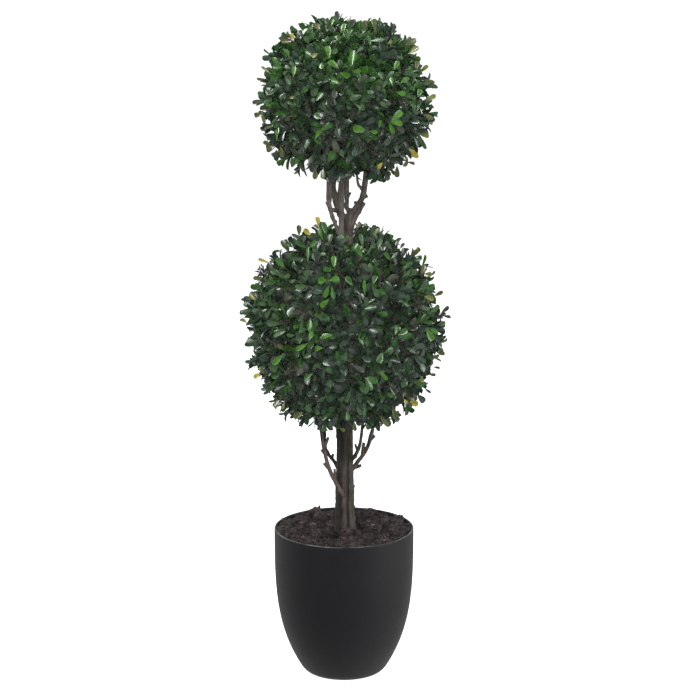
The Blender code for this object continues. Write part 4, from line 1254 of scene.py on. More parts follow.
LOWER_PLACED = {
    "fresh": (
        (327, 280, 318, 280, 8), (329, 281, 340, 279, 8), (329, 285, 324, 298, 6),
        (329, 299, 320, 307, 6), (334, 268, 334, 256, 7), (333, 335, 321, 336, 7),
        (308, 343, 295, 350, 6), (323, 348, 314, 349, 7), (283, 354, 272, 364, 7),
        (426, 328, 433, 341, 8), (310, 318, 309, 329, 8), (309, 341, 312, 331, 5),
        (365, 296, 364, 280, 5), (379, 370, 387, 380, 6), (324, 241, 318, 228, 5),
        (309, 248, 316, 240, 5),
    ),
    "fern": (
        (327, 235, 323, 222, 6), (308, 262, 308, 247, 4), (285, 268, 276, 258, 7),
        (282, 277, 290, 275, 5), (363, 257, 356, 248, 6), (413, 261, 423, 257, 6),
        (353, 286, 346, 276, 6), (359, 296, 349, 293, 5), (431, 312, 439, 305, 6),
        (423, 322, 433, 321, 6), (412, 381, 424, 386, 6), (426, 351, 433, 361, 4),
        (313, 373, 305, 381, 6), (295, 335, 286, 336, 5), (391, 261, 385, 252, 5),
        (395, 335, 397, 325, 8), (398, 335, 407, 329, 7), (397, 337, 394, 346, 7),
        (383, 352, 378, 363, 7), (428, 327, 438, 333, 6), (334, 269, 323, 268, 7),
        (332, 286, 334, 299, 6), (373, 284, 376, 275, 7), (347, 411, 347, 420, 6),
    ),
    "middle": (
        (307, 248, 296, 240, 7), (306, 258, 290, 257, 6), (280, 275, 271, 271, 6),
        (276, 284, 263, 282, 6), (314, 314, 326, 320, 6), (330, 244, 331, 234, 6),
        (364, 256, 375, 244, 6), (408, 277, 417, 270, 6), (419, 291, 428, 281, 8),
        (372, 286, 379, 297, 7), (364, 309, 374, 307, 6), (384, 353, 394, 349, 6),
        (369, 383, 365, 394, 5), (356, 406, 363, 415, 6), (316, 402, 324, 399, 6),
        (306, 404, 311, 412, 6), (316, 407, 318, 415, 4), (303, 358, 311, 355, 7),
        (262, 293, 257, 286, 6),
    ),
    # Olive and lime leaves, mostly at the outline: partly yellowish leaf colour, partly painted
    # backlight
    "olive": (
        (299, 236, 299, 225, 6), (286, 250, 282, 240, 6), (263, 279, 253, 278, 5),
        (413, 254, 420, 248, 6), (421, 275, 424, 265, 6), (434, 296, 443, 291, 5),
        (264, 374, 260, 367, 6), (304, 412, 293, 418, 8), (306, 415, 310, 426, 6),
        (379, 415, 388, 427, 6), (393, 407, 397, 420, 7), (354, 421, 355, 431, 5),
        (436, 352, 445, 354, 5), (277, 344, 282, 348, 5), (356, 229, 361, 222, 6),
        (428, 374, 436, 375, 4), (441, 343, 448, 339, 5), (283, 399, 280, 396, 5),
    ),
    "lime": (
        (373, 235, 380, 229, 5), (256, 301, 250, 293, 6), (247, 323, 240, 318, 5),
        (424, 274, 432, 274, 5), (424, 296, 434, 299, 6), (285, 403, 281, 409, 4),
        (416, 384, 424, 379, 5), (339, 428, 345, 431, 4),
    ),
    "gold": (
        (319, 227, 316, 217, 6), (311, 236, 304, 229, 6), (270, 263, 258, 259, 4),
        (260, 373, 254, 378, 6), (410, 401, 418, 405, 7), (404, 399, 407, 404, 4),
        (416, 251, 419, 247, 4),
    ),
    "glint": (
        (296, 280, 290, 282, 4), (275, 287, 268, 295, 5), (294, 306, 288, 315, 7),
        (271, 310, 265, 317, 6), (260, 309, 252, 311, 4), (302, 320, 301, 330, 4),
        (254, 325, 263, 323, 4), (286, 331, 273, 336, 5), (256, 341, 246, 341, 6),
        (281, 288, 276, 289, 3), (281, 251, 275, 251, 4), (421, 308, 430, 309, 5),
        (363, 248, 360, 233, 5), (378, 249, 381, 238, 6), (392, 250, 386, 241, 5),
        (391, 259, 398, 252, 4), (373, 273, 369, 263, 5), (403, 270, 412, 262, 5),
        (314, 271, 303, 274, 7), (308, 286, 295, 287, 6), (404, 378, 403, 388, 5),
        (366, 402, 364, 417, 4), (351, 389, 346, 403, 5), (347, 352, 343, 361, 8),
        (267, 309, 262, 312, 4), (301, 295, 297, 299, 4), (333, 374, 327, 368, 6),
        (345, 396, 340, 402, 4),
    ),
    "deep": (
        (264, 275, 259, 268, 3), (370, 236, 375, 227, 5), (431, 276, 435, 271, 3),
        (441, 313, 449, 307, 5), (443, 316, 451, 317, 4), (274, 388, 263, 394, 4),
        (417, 394, 424, 403, 8), (424, 388, 431, 393, 3), (433, 367, 440, 368, 3),
        (395, 247, 398, 240, 4), (400, 249, 404, 243, 4), (411, 349, 425, 345, 7),
    ),
}

# Leaf tips that make the photograph's outline: where each is in it, and its tone. The olive ones
# are partly yellowish leaf colour and partly painted backlight glowing through the leaves
UPPER_OUTLINE = (
    (338, 12, "deep"), (318, 20, "fern"), (352, 22, "middle"), (374, 19, "fern"),
    (395, 31, "middle"), (415, 41, "olive"), (427, 67, "fern"), (434, 81, "olive"),
    (434, 97, "olive"), (430, 118, "fern"), (429, 138, "olive"), (424, 150, "deep"),
    (416, 157, "olive"), (397, 178, "olive"), (382, 172, "olive"), (316, 178, "olive"),
    (302, 168, "deep"), (291, 164, "deep"), (263, 143, "middle"), (263, 130, "olive"),
    (254, 116, "middle"), (252, 103, "deep"), (258, 79, "middle"), (261, 67, "olive"),
    (283, 38, "olive"),
)
LOWER_OUTLINE = (
    (317, 218, "olive"), (299, 226, "deep"), (308, 230, "olive"), (281, 241, "fern"),
    (260, 258, "olive"), (254, 277, "middle"), (250, 295, "olive"), (240, 318, "olive"),
    (245, 340, "deep"), (250, 364, "middle"), (255, 377, "olive"), (263, 393, "deep"),
    (280, 407, "olive"), (297, 420, "olive"), (312, 432, "middle"), (330, 428, "middle"),
    (388, 426, "olive"), (397, 419, "olive"), (415, 405, "olive"), (428, 390, "deep"),
    (442, 361, "olive"), (449, 340, "middle"), (451, 318, "deep"), (441, 290, "olive"),
    (432, 275, "fern"), (419, 248, "olive"), (400, 240, "middle"), (378, 229, "fern"),
    (362, 226, "deep"), (330, 224, "fern"),
)

# Places where the photograph shows the sky through the balls
UPPER_SKY_SPOTS = (
    (408, 70), (302, 140), (380, 140), (371, 147), (286, 147), (307, 154), (394, 156), (306, 162),
    (387, 166), (365, 174), (358, 178), (422, 97), (267, 110), (268, 122), (272, 132),
)
LOWER_SKY_SPOTS = (
    (291, 249), (403, 252), (329, 258), (270, 267), (287, 345), (251, 351), (436, 364), (321, 374),
    (311, 385), (323, 391), (273, 391), (429, 377), (400, 408), (312, 420), (332, 422), (390, 432),
    (392, 430), (394, 428), (397, 428), (400, 429), (235, 315), (236, 319),
)
SKY_CLEARANCE = 0.0020

# Places where the photograph looks past the outer leaves into the dark, and their size in pixels
UPPER_HOLLOWS = (
    (325, 90, 6), (327, 74, 3), (305, 69, 4), (270, 69, 3), (348, 89, 5), (407, 55, 4),
    (301, 123, 6), (309, 112, 5), (272, 117, 3), (332, 102, 4), (365, 146, 5), (409, 127, 4),
    (407, 142, 4), (343, 118, 4), (318, 150, 4), (330, 140, 4), (385, 110, 4),
)
LOWER_HOLLOWS = (
    (284, 286, 4), (286, 301, 6), (308, 313, 4), (387, 275, 6), (396, 284, 4), (265, 356, 5),
    (286, 361, 7), (295, 370, 7), (277, 381, 6), (299, 386, 6), (289, 400, 5), (353, 364, 5),
    (372, 371, 4), (353, 382, 4), (405, 347, 5), (389, 388, 5), (374, 399, 4), (345, 330, 5),
    (268, 336, 4),
)
HOLLOW_SHARE = 0.80
HOLLOW_PIXEL = 0.00120

# The photograph's middle and size in pixels, and how far out in a ball the leaves seen in it lie
PHOTO_MIDDLE = 350.0
PHOTO_SIZE = 700.0
SPOT_SHARE = 0.90
PLACED_SHARE = 0.905
PLACED_TWIG = (0.0008, 0.0004)
PLACED_TIP_DEPTHS = (-0.30, 0.35)
PLACED_ROLL = 0.42
PLACED_PALE_ROLL_SHARE = 0.4
PLACED_CUPS = (0.2, 0.8)
PLACED_BENDS = (-0.05, 0.30)
PLACED_WIDTH_SHARE = 0.9
PLACED_MIDDLE = 0.55
PLACED_TWIG_BEND = 0.6
PLACED_TWIG_LIFT = Vector((0.0, 0.0, 0.004))
IN_FRONT_ROOM = 0.30

# A leaf that glints is turned to mirror the key lamp
GLINT_LAMP = Vector(LAMPS[0][1])
GLINT_ROLL = 0.15
GLINT_CUP = 0.20
GLINT_BEND = 0.10


def sight_line(spot):
    """Return where the photograph's camera stands and its way to a spot in the photograph."""
    eye = Vector(CAMERA_PLACE)
    view = (Vector(CAMERA_TARGET) - eye).normalized()
    right = view.cross(Vector((0.0, 0.0, 1.0))).normalized()
    up = right.cross(view)
    scale = SENSOR_WIDTH / (PHOTO_SIZE * CAMERA_LENS)
    across, down = (place - PHOTO_MIDDLE for place in spot)
    return eye, view + right * across * scale - up * down * scale


def spot_place(spot, centre, reach, shell=SPOT_SHARE):
    """Return the direction and the share of a ball's reach where a spot in the photograph lies."""
    eye, ray = sight_line(spot)
    start = Vector(((eye[axis] - centre[axis]) / reach[axis] for axis in range(3)))
    along = Vector((ray[axis] / reach[axis] for axis in range(3)))
    nearest = -start.dot(along) / along.dot(along)
    miss = (start + along * nearest).length
    if miss < shell:
        nearest -= math.sqrt(shell ** 2 - miss ** 2) / along.length
    place = start + along * nearest
    return place.normalized(), place.length


class Growth:
    """The twigs and leaves of one ball while they grow."""

    def __init__(self, centre, reach, foliage, bright_tone_scale, seed):
        self.centre = centre
        self.reach = reach
        self.foliage = foliage
        self.bright_tone_scale = bright_tone_scale
        self.rng = seeded(seed)
        self.leaves = {tone: [] for tone in TONES}
        self.twigs = []
        self.branches = []
        self.placed = []
        self.placed_count = {tone: 0 for tone in TONES}

    def at(self, direction, share):
        """Return the point at a share of the ball's reach in a direction."""
        return self.centre + direction * self.reach * share

    def add_branches(self, count, axis):
        """Grow the main branches inside the ball, from the stems up and out."""
        for direction in even_directions(count, self.rng):
            share = BRANCH_FOOT_SPREAD * direction.z - BRANCH_FOOT_DROP
            foot_z = self.centre.z + self.reach.z * share
            foot = Vector((*axis(foot_z), foot_z))
            tip = self.at(direction, self.rng.uniform(*BRANCH_TIPS))
            line = bent_line(foot, foot.lerp(tip, 0.5) + BRANCH_LIFT, tip, LINE_STEPS)
            self.branches.append((direction, line))
            self.twigs.append((line, *BRANCH_RADII))

    def fork(self, direction):
        """Return a point of the branch that comes nearest to a direction, in its outer half."""
        branch = max(self.branches, key=lambda entry: entry[0].dot(direction))[1]
        return branch[self.rng.randint(*FORK_STEPS)]

    def add_leaf(self, root, along, face_up, size, tone):
        """Note one leaf's place, direction, face and size."""
        rng = self.rng
        if tone in OLD_TONES and rng.random() < OLD_TONE_CHANGE:
            tone = OLD_TONES[rng.randrange(len(OLD_TONES))]
        length = self.foliage.leaf_length * size * rng.uniform(*LENGTH_SPREAD)
        width = self.foliage.leaf_width * size * rng.uniform(*WIDTH_SPREAD)
        side = along.cross(face_up).normalized()
        up = side.cross(along).normalized()
        roll = rng.gauss(0.0, ROLL)
        if tone in BRIGHT_SWELL:
            roll *= BRIGHT_ROLL_SHARE
            length *= BRIGHT_SWELL[tone]
            width *= BRIGHT_SWELL[tone]
        up = Matrix.Rotation(roll, 3, along) @ up
        cup, bend = rng.uniform(*CUPS), rng.uniform(*BENDS)
        self.leaves[tone].append((*root, *along, *up, length, width, cup, bend))

    def add_pair(self, root, along, turn, lean, size, tone):
        """Add two leaves on opposite sides of a twig."""
        rng = self.rng
        for half in (0.0, math.pi):
            leaf_turn = turn + half + rng.gauss(0.0, PAIR_TURN_SPREAD)
            leaf_along = tilted(along, leaf_turn, lean + rng.gauss(0.0, LEAN_SPREAD))
            self.add_leaf(root, leaf_along, along, size, tone)

    def add_side_twig(self, fork, along, turn, length, tone):
        """Grow a side twig with a pair of leaves at its tip and one or two pairs below."""
        rng = self.rng
        way = tilted(along, turn, rng.uniform(*SIDE_FOOT_LEANS))
        bent = tilted(along, turn, rng.uniform(*SIDE_TIP_LEANS))
        tip = fork + way * length * SIDE_FOOT_SHARE + bent * length * (1.0 - SIDE_FOOT_SHARE)
        line = bent_line(fork, fork + way * length * 0.5, tip, SIDE_STEPS)
        self.twigs.append((line, *SIDE_RADII))
        quarter = rng.uniform(0.0, math.pi)
        for node in range(3 if length > LONG_SIDE else 2):
            place, heading = point_back(line, node * SIDE_NODE_SPACING)
            lean = SIDE_LEANS[node] + rng.uniform(-LEAN_SPREAD, LEAN_SPREAD)
            node_turn = quarter + node * QUARTER_TURN
            self.add_pair(place, heading, node_turn, lean, SIDE_SIZES[node], tone)

    def add_spray(self, direction, tip_share, tone, tip_tone):
        """Grow one spray: a long twig from a branch, opposite pairs of leaves and side twigs."""
        rng = self.rng
        start = self.fork(direction)
        upward = (direction + UPWARD).normalized()
        lean_way = tilted(upward, rng.uniform(0.0, FULL_TURN), rng.uniform(*SPRAY_LEANS))
        tip = self.at(direction, tip_share)
        room = (direction * self.reach).length
        line = bent_line(start, tip - lean_way * room * SPRAY_BEND, tip, LINE_STEPS)
        self.twigs.append((line, *SPRAY_RADII))
        turn = rng.uniform(0.0, math.pi)
        # Painted light: inner leaves are deep green where the direction counts as lit, and the dull
        # shade tone elsewhere
        inner_tone = "deep" if self.light(direction) > LIT_INSIDE else "shade"
        for node, lean in enumerate(PAIR_LEANS):
            place, heading = point_back(line, NODE_PLACES[node] * rng.uniform(*SIZE_SPREAD))
            lean += rng.uniform(-LEAN_SPREAD, LEAN_SPREAD)
            size = PAIR_SIZES[node] * rng.uniform(*SIZE_SPREAD)
            outer_tone = tone if node < OUTER_NODES else inner_tone
            node_turn = turn + node * QUARTER_TURN
            pair_tone = tip_tone if node == 0 else outer_tone
            self.add_pair(place, heading, node_turn, lean, size, pair_tone)
            for half in (0.0, math.pi):
                if rng.random() < SIDE_TWIG_CHANCES[node]:
                    length = rng.uniform(*SIDE_LENGTHS)
                    side_turn = node_turn + half + rng.gauss(0.0, SIDE_TURN_SPREAD)
                    self.add_side_twig(place, heading, side_turn, length, outer_tone)

    def light(self, direction):
        """Return how lit a direction is taken to be, from 0 to 1; it deals out tones as painted
        light.
        """
        return min(1.0, max(0.0, LIGHT_AT_SIDE + LIGHT_UPWARD * direction.z)) * self.bright_tone_scale

    def pick_tones(self, direction):
        """Return a spray's tones and its tip's: brighter on top and duller below, painted light and
        shade.
        """
        light = self.light(direction)
        draw = self.rng.random()
        if draw < FERN_CHANCE[0] + FERN_CHANCE[1] * light ** 2:
            tone = "fern"
        elif draw < MIDDLE_CHANCE[0] + MIDDLE_CHANCE[1] * light:
            tone = "middle"
        else:
            tone = "deep"
        draw = self.rng.random()
        anywhere = 0.0 if direction.y < SEEN_IN_FRONT else 1.0
        if draw < FRESH_CHANCE[0] * anywhere + FRESH_CHANCE[1] * light:
            return tone, "fresh"
        if draw > 1.0 - LIME_CHANCE[0] * anywhere - LIME_CHANCE[1] * light:
            return tone, "lime"
        return tone, tone

    def grow(self, sprays, outline, thin):
        """Set sprays evenly over the ball, some of them long, and then those of the outline."""
        rng = self.rng
        for direction in even_directions(sprays, rng):
            spot = np.array([[*(direction * SWELLS_ACROSS)]]) + SWELL_PLACE
            swell = SWELL_HEIGHT * float(smooth_noise(spot, SWELL_SEED)[0])
            tip_share = rng.uniform(*(LONG_TIPS if rng.random() < LONG_SHARE else SHORT_TIPS))
            tone, tip_tone = self.pick_tones(direction)
            if thin(direction):
                tip_share, tone, tip_tone = THIN_TIP, "shade", "shade"
            if direction.z < UNDERSIDE:
                tip_share -= UNDERSIDE_SHORTER
            self.add_spray(direction, tip_share + swell, tone, tip_tone)
        tip_room = OUTLINE_ROOM * self.foliage.leaf_length / self.reach.x
        for x, y, tip_tone in outline:
            direction, share = spot_place((x, y), self.centre, self.reach)
            self.add_spray(direction, share - tip_room, self.pick_tones(direction)[0], tip_tone)

    def add_hollow(self, mark):
        """Note a place in front of which no leaf may stay."""
        x, y, room = mark
        direction, share = spot_place((x, y), self.centre, self.reach, HOLLOW_SHARE)
        self.placed.append((self.at(direction, share), room * HOLLOW_PIXEL))

    def add_placed_leaf(self, mark, tone):
        """Grow a fine twig and a leaf to where the photograph shows the leaf's foot and tip."""
        rng = self.rng
        foot_x, foot_y, tip_x, tip_y, width = mark
        direction, share = spot_place((foot_x, foot_y), self.centre, self.reach, PLACED_SHARE)
        foot = self.at(direction, share)
        eye, ray = sight_line((foot_x, foot_y))
        depth = (foot - eye).length / ray.length
        pixel = depth * SENSOR_WIDTH / (PHOTO_SIZE * CAMERA_LENS)
        seen_length = math.hypot(tip_x - foot_x, tip_y - foot_y) * pixel
        tip_depth = depth + seen_length * rng.uniform(*PLACED_TIP_DEPTHS)
        tip = eye + sight_line((tip_x, tip_y))[1] * tip_depth
        face_up = (eye - foot).normalized()
        if tone == "glint":
            face_up = (face_up + (GLINT_LAMP - foot).normalized()).normalized()
            tone, roll, cup, bend = "middle", rng.gauss(0.0, GLINT_ROLL), GLINT_CUP, GLINT_BEND
        else:
            roll = rng.gauss(0.0, PLACED_ROLL)
            cup, bend = rng.uniform(*PLACED_CUPS), rng.uniform(*PLACED_BENDS)
            if tone in ("lime", "gold"):
                roll *= PLACED_PALE_ROLL_SHARE
        along = tip - foot
        length = along.length
        along.normalize()
        up = Matrix.Rotation(roll, 3, along) @ along.cross(face_up).cross(along).normalized()
        width *= PLACED_WIDTH_SHARE * pixel
        self.leaves[tone].append((*foot, *along, *up, length, width, cup, bend))
        self.placed.append((foot.lerp(tip, PLACED_MIDDLE), length * IN_FRONT_ROOM))
        self.placed_count[tone] += 1
        start = self.fork(direction)
        bend_place = start.lerp(foot, PLACED_TWIG_BEND) + PLACED_TWIG_LIFT
        self.twigs.append((bent_line(start, bend_place, foot, LINE_STEPS), *PLACED_TWIG))


def leaf_points(rows):
    """Return the corners of every leaf: a root, five rows of three across, and a tip."""
    root, along, up = rows[:, 0:3], rows[:, 3:6], rows[:, 6:9]
    length, width, cup, bend = (rows[:, column:column + 1] for column in range(9, 13))
    side = np.cross(along, up)
    corners = [root]
    for station, share in zip(LEAF_STATIONS, LEAF_WIDTHS):
        droop = bend * length * station ** 2
        middle = root + along * length * station - up * droop
        half = width * 0.5 * share
        rise = cup * half
        corners.append(middle - side * half + up * rise)
        corners.append(middle)
        corners.append(middle + side * half + up * rise)
    corners.append(root + along * length - up * bend * length)
    return np.stack(corners, axis=1)


def leaf_faces():
    """Return one leaf's faces: a fan at its root, quads along it and a fan at its tip."""
    quads = []
    for row in range(len(LEAF_STATIONS) - 1):
        for column in range(2):
            first = 1 + 3 * row + column
            quads.append((first, first + 1, first + 4, first + 3))
    last = 1 + 3 * (len(LEAF_STATIONS) - 1)
    tip = last + 3
    fans = [(0, 2, 1), (0, 3, 2), (last, last + 1, tip), (last + 1, last + 2, tip)]
    return np.array(quads), np.array(fans)


def limb_segments():
    """Return the starts, ends and radii of the short straight pieces of every limb."""
    starts, ends, radii = [], [], []
    for node, path, spurs, tone in LIMBS:
        points, sizes = smooth_path(path, LIMB_STEP)
        starts.extend(points[:-1])
        ends.extend(points[1:])
        radii.extend(np.maximum(sizes[:-1], sizes[1:]))
        for root, tip, radius in spurs:
            starts.append(np.array(root))
            ends.append(np.array(tip))
            radii.append(radius)
    return starts, ends, radii


def clear_of_limbs(corners):
    """Tell for each leaf whether all of its corners keep clear of every limb."""
    starts, ends, radii = limb_segments()
    clear = np.ones(len(corners), dtype=bool)
    for start, end, radius in zip(starts, ends, radii):
        line = end - start
        away = corners - start
        share = np.clip((away @ line) / (line @ line), 0.0, 1.0)
        gap = np.linalg.norm(away - share[..., None] * line, axis=-1)
        clear &= gap.min(axis=1) > radius + LEAF_CLEARANCE
    return clear


def beside_line(corners, start, way):
    """Return how far along a line each corner lies, and how far beside it."""
    away = corners - start
    along = away @ way
    return along, np.linalg.norm(away - along[..., None] * way, axis=-1)


def clear_of_sky(corners, spots):
    """Tell for each leaf whether it keeps clear of the lines of sight to where sky shows."""
    clear = np.ones(len(corners), dtype=bool)
    for spot in spots:
        eye, ray = sight_line(spot)
        off = beside_line(corners, np.array(eye), np.array(ray.normalized()))[1]
        clear &= off.min(axis=1) > SKY_CLEARANCE
    return clear


def clear_in_front(corners, places):
    """Tell for each leaf whether it keeps out of the sight of the placed leaves behind it."""
    clear = np.ones(len(corners), dtype=bool)
    eye = np.array(CAMERA_PLACE)
    for place, room in places:
        way = np.array(place) - eye
        depth = np.linalg.norm(way)
        along, off = beside_line(corners, eye, way / depth)
        clear &= ~((off < room) & (along < depth)).any(axis=1)
    return clear


def mottled(finish, pattern, colour, spread):
    """Return a colour with darker and lighter mottling."""
    dark, middle, light = shades(colour, spread)
    return colour_ramp(finish, pattern, ((0.3, dark), (0.5, middle), (0.7, light)))


def leaf_finish(name, colour):
    """Return glossy moulded leaf plastic with slight mottling."""
    finish, shader = new_finish(name, colour, roughness=0.32, specular=0.50)
    place = object_place(finish)
    mottle = noise_pattern(finish, place, scale=140.0, detail=2.0)
    link_sockets(finish, shader, {
        "Base Color": mottled(finish, mottle, colour, 0.34),
        "Roughness": map_range(finish, mottle, low=0.20, high=0.40),
    })
    add_bump(finish, shader, ((noise_pattern(finish, place, scale=700.0, detail=2.0), 0.00012),))
    return finish


def twig_finish(colour):
    """Return dull brown twig plastic."""
    finish, shader = new_finish("twig_brown", colour, roughness=0.7, specular=0.3)
    mottle = noise_pattern(finish, object_place(finish), scale=260.0)
    link_sockets(finish, shader, {"Base Color": mottled(finish, mottle, colour, 0.5)})
    return finish


def ball_shares(growth, points):
    """Return how far out in its ball each point lies, as a share of the ball's reach."""
    return np.linalg.norm((points - np.array(growth.centre)) / np.array(growth.reach), axis=-1)


def add_leaves(name, growth, finishes, sky_spots):
    """Add a ball's leaves, one piece for each tone."""
    quads, fans = leaf_faces()
    for tone in TONES:
        corners = leaf_points(np.array(growth.leaves[tone]))
        beyond = ball_shares(growth, corners).max(axis=1)
        shorter = np.clip(1.0 - (beyond - LEAF_LIMIT) * SHORTENING, 0.0, 1.0)
        grown = len(corners) - growth.placed_count[tone]
        shorter[grown:] = 1.0
        corners = corners[:, :1] + (corners - corners[:, :1]) * shorter[:, None, None]
        kept = (shorter > LEAST_SIZE) & clear_of_limbs(corners) & clear_of_sky(corners, sky_spots)
        kept[:grown] &= clear_in_front(corners[:grown], growth.placed)
        corners = corners[kept]
        first = (np.arange(len(corners)) * corners.shape[1])[:, None, None]
        faces = [(quads[None] + first).reshape(-1, 4), (fans[None] + first).reshape(-1, 3)]
        corners = corners.reshape(-1, 3)
        add_piece(f"{name}_leaves_{tone}", corners, faces, finishes[tone], (name,))


def add_twigs(name, growth, finish):
    """Add a ball's twigs as one piece, without those that would stick out of it."""
    lines, radii = [], []
    for line, foot_radius, tip_radius in growth.twigs:
        points = np.array([tuple(point) for point in line])
        if ball_shares(growth, points).max() > TWIG_LIMIT:
            continue
        places = np.linspace(0.0, len(points) - 1.0, TWIG_RINGS)
        whole = np.minimum(places.astype(int), len(points) - 2)
        part = (places - whole)[:, None]
        lines.append(points[whole] * (1.0 - part) + points[whole + 1] * part)
        radii.append(np.linspace(foot_radius, tip_radius, TWIG_RINGS))
    vertices, faces = tube_mesh(np.array(lines), np.array(radii), TWIG_SIDES)
    add_piece(name + "_twigs", vertices, faces, finish, (name,))


def in_groove(direction):
    """Tell whether a direction lies in the thin place at the lower ball's top front."""
    across = abs(direction.x - GROOVE_MIDDLE) < GROOVE_HALF_WIDTH
    return across and direction.y < 0.0 and GROOVE_LOW < direction.z < GROOVE_HIGH


def nowhere(direction):
    """Tell that no direction lies in a thin place."""
    return False


# Each ball: its node, middle, reach, count of main branches, scale on its bright tones (painted
# light from above) and seed, and its placed leaves, outline tips, sky spots, hollows and thin place
BALLS = (
    ("lower_ball", LOWER_BALL_CENTRE, LOWER_BALL_REACH, 34, 0.38, 101,
     LOWER_PLACED, LOWER_OUTLINE, LOWER_SKY_SPOTS, LOWER_HOLLOWS, in_groove),
    ("upper_ball", UPPER_BALL_CENTRE, UPPER_BALL_REACH, 26, 1.0, 202,
     UPPER_PLACED, UPPER_OUTLINE, UPPER_SKY_SPOTS, UPPER_HOLLOWS, nowhere),
)


class TOPIARY_OT_foliage(bpy.types.Operator):
    """Grow the two balls of twigs and leaves."""

    bl_idname = "topiary.foliage"
    bl_label = "Foliage"

    def execute(self, context):
        foliage = context.scene.topiary_foliage
        finishes = {
            tone: leaf_finish(f"{tone}_leaf", tuple(getattr(foliage, tone))) for tone in TONES}
        twigs_finish = twig_finish(tuple(foliage.twig))
        trunk, radii = smooth_path(TRUNK_PATH, LIMB_STEP)

        def trunk_axis(z):
            return [float(np.interp(z, trunk[:, 2], trunk[:, axis])) for axis in (0, 1)]

        for name, centre, reach, branches, bright_tone_scale, seed, *places in BALLS:
            placed, outline, sky_spots, hollows, thin = places
            growth = Growth(centre, reach, foliage, bright_tone_scale, seed)
            growth.add_branches(branches, trunk_axis)
            growth.grow(getattr(foliage, name.replace("ball", "sprays")), outline, thin)
            for tone, marks in placed.items():
                for mark in marks:
                    growth.add_placed_leaf(mark, tone)
            for mark in hollows:
                growth.add_hollow(mark)
            add_leaves(name, growth, finishes, sky_spots)
            add_twigs(name, growth, twigs_finish)
        return {"FINISHED"}


def aim(item, place, target):
    """Put a light or the camera at a place, and turn it to face a target."""
    item.location = place
    item.rotation_euler = (Vector(target) - Vector(place)).to_track_quat("-Z", "Y").to_euler()


def area_light(name, place, target, size, power):
    """Add a square light that faces a target."""
    lamp = bpy.data.lights.new(name, "AREA")
    lamp.shape = "SQUARE"
    lamp.size = size
    lamp.energy = power
    light = bpy.data.objects.new(name, lamp)
    light.visible_camera = False
    aim(light, place, target)
    bpy.context.scene.collection.objects.link(light)
    return light


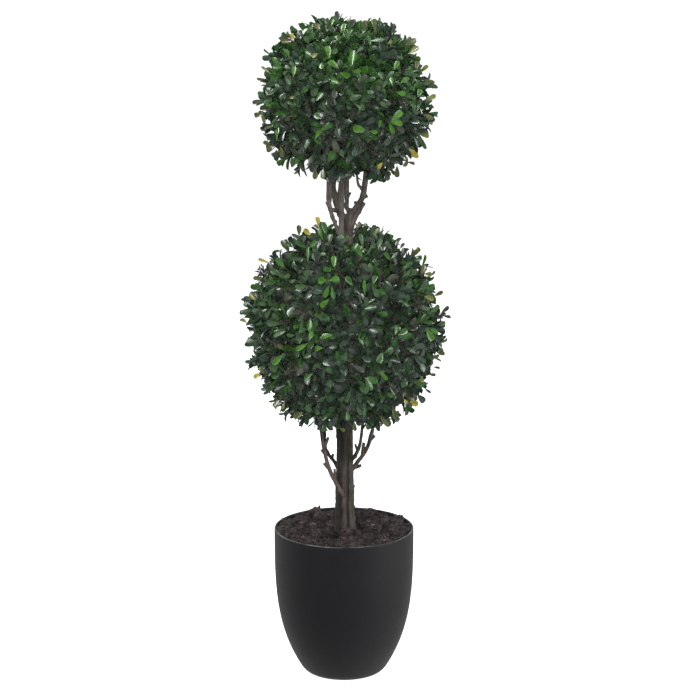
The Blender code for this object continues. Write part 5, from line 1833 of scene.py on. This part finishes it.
class TOPIARY_OT_stage(bpy.types.Operator):
    """Set the pale floor and backdrop, the soft lights and the camera."""

    bl_idname = "topiary.stage"
    bl_label = "Studio"

    def execute(self, context):
        stage = context.scene.topiary_stage
        self.make_room(stage)
        self.make_lights(stage)
        self.make_camera()
        context.scene.view_settings.view_transform = "Standard"
        return {"FINISHED"}

    def make_room(self, stage):
        """Make one pale sheet that is the floor and curves up into a dome round every view."""
        angles = np.linspace(0.0, QUARTER_TURN, ROOM_STEPS)
        rising = angles[1:-1]
        outs = np.concatenate((
            ROOM_CENTRE_RINGS,
            ROOM_RADIUS - ROOM_BEND + ROOM_BEND * np.sin(angles),
            ROOM_RADIUS * np.cos(rising),
            ROOM_CENTRE_RINGS[:1],
        ))
        ups = np.concatenate((
            np.zeros(len(ROOM_CENTRE_RINGS)),
            ROOM_BEND * (1.0 - np.cos(angles)),
            ROOM_BEND + ROOM_HEIGHT * np.sin(rising),
            [ROOM_BEND + ROOM_HEIGHT],
        ))
        vertices = turned_rings(outs, ups, ROOM_SIDES)
        ends = [tuple(range(ROOM_SIDES)), tuple(range(len(vertices) - ROOM_SIDES, len(vertices)))]
        mesh = bpy.data.meshes.new("room")
        mesh.from_pydata(vertices.tolist(), [], grid_faces(len(outs), ROOM_SIDES).tolist() + ends)
        mesh.shade_smooth()
        finish, shader = new_finish("pale_paper", stage.floor_colour, roughness=0.95, specular=0.0)
        shader.inputs["Emission Color"].default_value = (1.0, 1.0, 1.0, 1.0)
        shader.inputs["Emission Strength"].default_value = stage.floor_glow
        mesh.materials.append(finish)
        room = bpy.data.objects.new("room", mesh)
        bpy.context.scene.collection.objects.link(room)
        for kind in ("visible_diffuse", "visible_glossy", "visible_transmission", "visible_shadow"):
            setattr(room, kind, False)

    def make_lights(self, stage):
        """Set the soft light all round, weak from behind the camera, and the lamps."""
        world = bpy.data.worlds.new("overhead")
        world.use_nodes = True
        place = add_node(world, "TexCoord").outputs["Generated"]
        values = {"Rotation": (0.0, 0.0, DARK_FRONT_TURN)}
        turned = add_node(world, "Mapping", values, {"Vector": place})
        split = add_node(world, "SeparateXYZ", links={"Vector": turned.outputs["Vector"]})
        height = map_range(world, split.outputs["Z"], LIGHT_FROM_BELOW, LIGHT_LEVEL, *LIGHT_HEIGHTS)
        front = map_range(world, split.outputs["Y"], LIGHT_FROM_FRONT, 1.0, *LIGHT_FRONTS)
        sky = world.node_tree.nodes["Background"]
        sky.inputs["Strength"].default_value = stage.sky
        link_sockets(world, sky, {"Color": both_masks(world, height, front)})
        bpy.context.scene.world = world
        for name, place, target, size, mirrored in LAMPS:
            light = area_light(name, place, target, size, getattr(stage, name))
            light.visible_glossy = mirrored

    def make_camera(self):
        """Set the camera at the photograph's angle."""
        lens = bpy.data.cameras.new("camera")
        lens.lens = CAMERA_LENS
        lens.sensor_width = SENSOR_WIDTH
        lens.clip_start, lens.clip_end = CAMERA_CLIP
        camera = bpy.data.objects.new("camera", lens)
        aim(camera, CAMERA_PLACE, CAMERA_TARGET)
        bpy.context.scene.collection.objects.link(camera)
        bpy.context.scene.camera = camera


class TOPIARY_PT_panel(bpy.types.Panel):
    """The panel in the 3D view's sidebar."""

    bl_idname = "TOPIARY_PT_panel"
    bl_label = "Double ball topiary"
    bl_space_type = "VIEW_3D"
    bl_region_type = "UI"
    bl_category = "Topiary"

    def draw(self, context):
        for name, settings, operator in SECTIONS:
            box = self.layout.box()
            group = getattr(context.scene, name)
            for field in settings.__annotations__:
                box.prop(group, field)
            box.operator(operator.bl_idname)


SECTIONS = (
    ("topiary_stage", StageSettings, TOPIARY_OT_stage),
    ("topiary_pot", PotSettings, TOPIARY_OT_pot),
    ("topiary_mulch", MulchSettings, TOPIARY_OT_mulch),
    ("topiary_bark", BarkSettings, TOPIARY_OT_limbs),
    ("topiary_foliage", FoliageSettings, TOPIARY_OT_foliage),
)


def register():
    """Register the settings, the operators and the panel."""
    for name, settings, operator in SECTIONS:
        bpy.utils.register_class(settings)
        bpy.utils.register_class(operator)
        setattr(bpy.types.Scene, name, bpy.props.PointerProperty(type=settings))
    bpy.utils.register_class(TOPIARY_PT_panel)


def unregister():
    """Unregister what register registered."""
    bpy.utils.unregister_class(TOPIARY_PT_panel)
    for name, settings, operator in reversed(SECTIONS):
        delattr(bpy.types.Scene, name)
        bpy.utils.unregister_class(operator)
        bpy.utils.unregister_class(settings)


def main():
    register()
    bpy.ops.topiary.stage()
    bpy.ops.topiary.pot()
    bpy.ops.topiary.mulch()
    bpy.ops.topiary.limbs()
    bpy.ops.topiary.foliage()


if __name__ == "__main__":
    main()
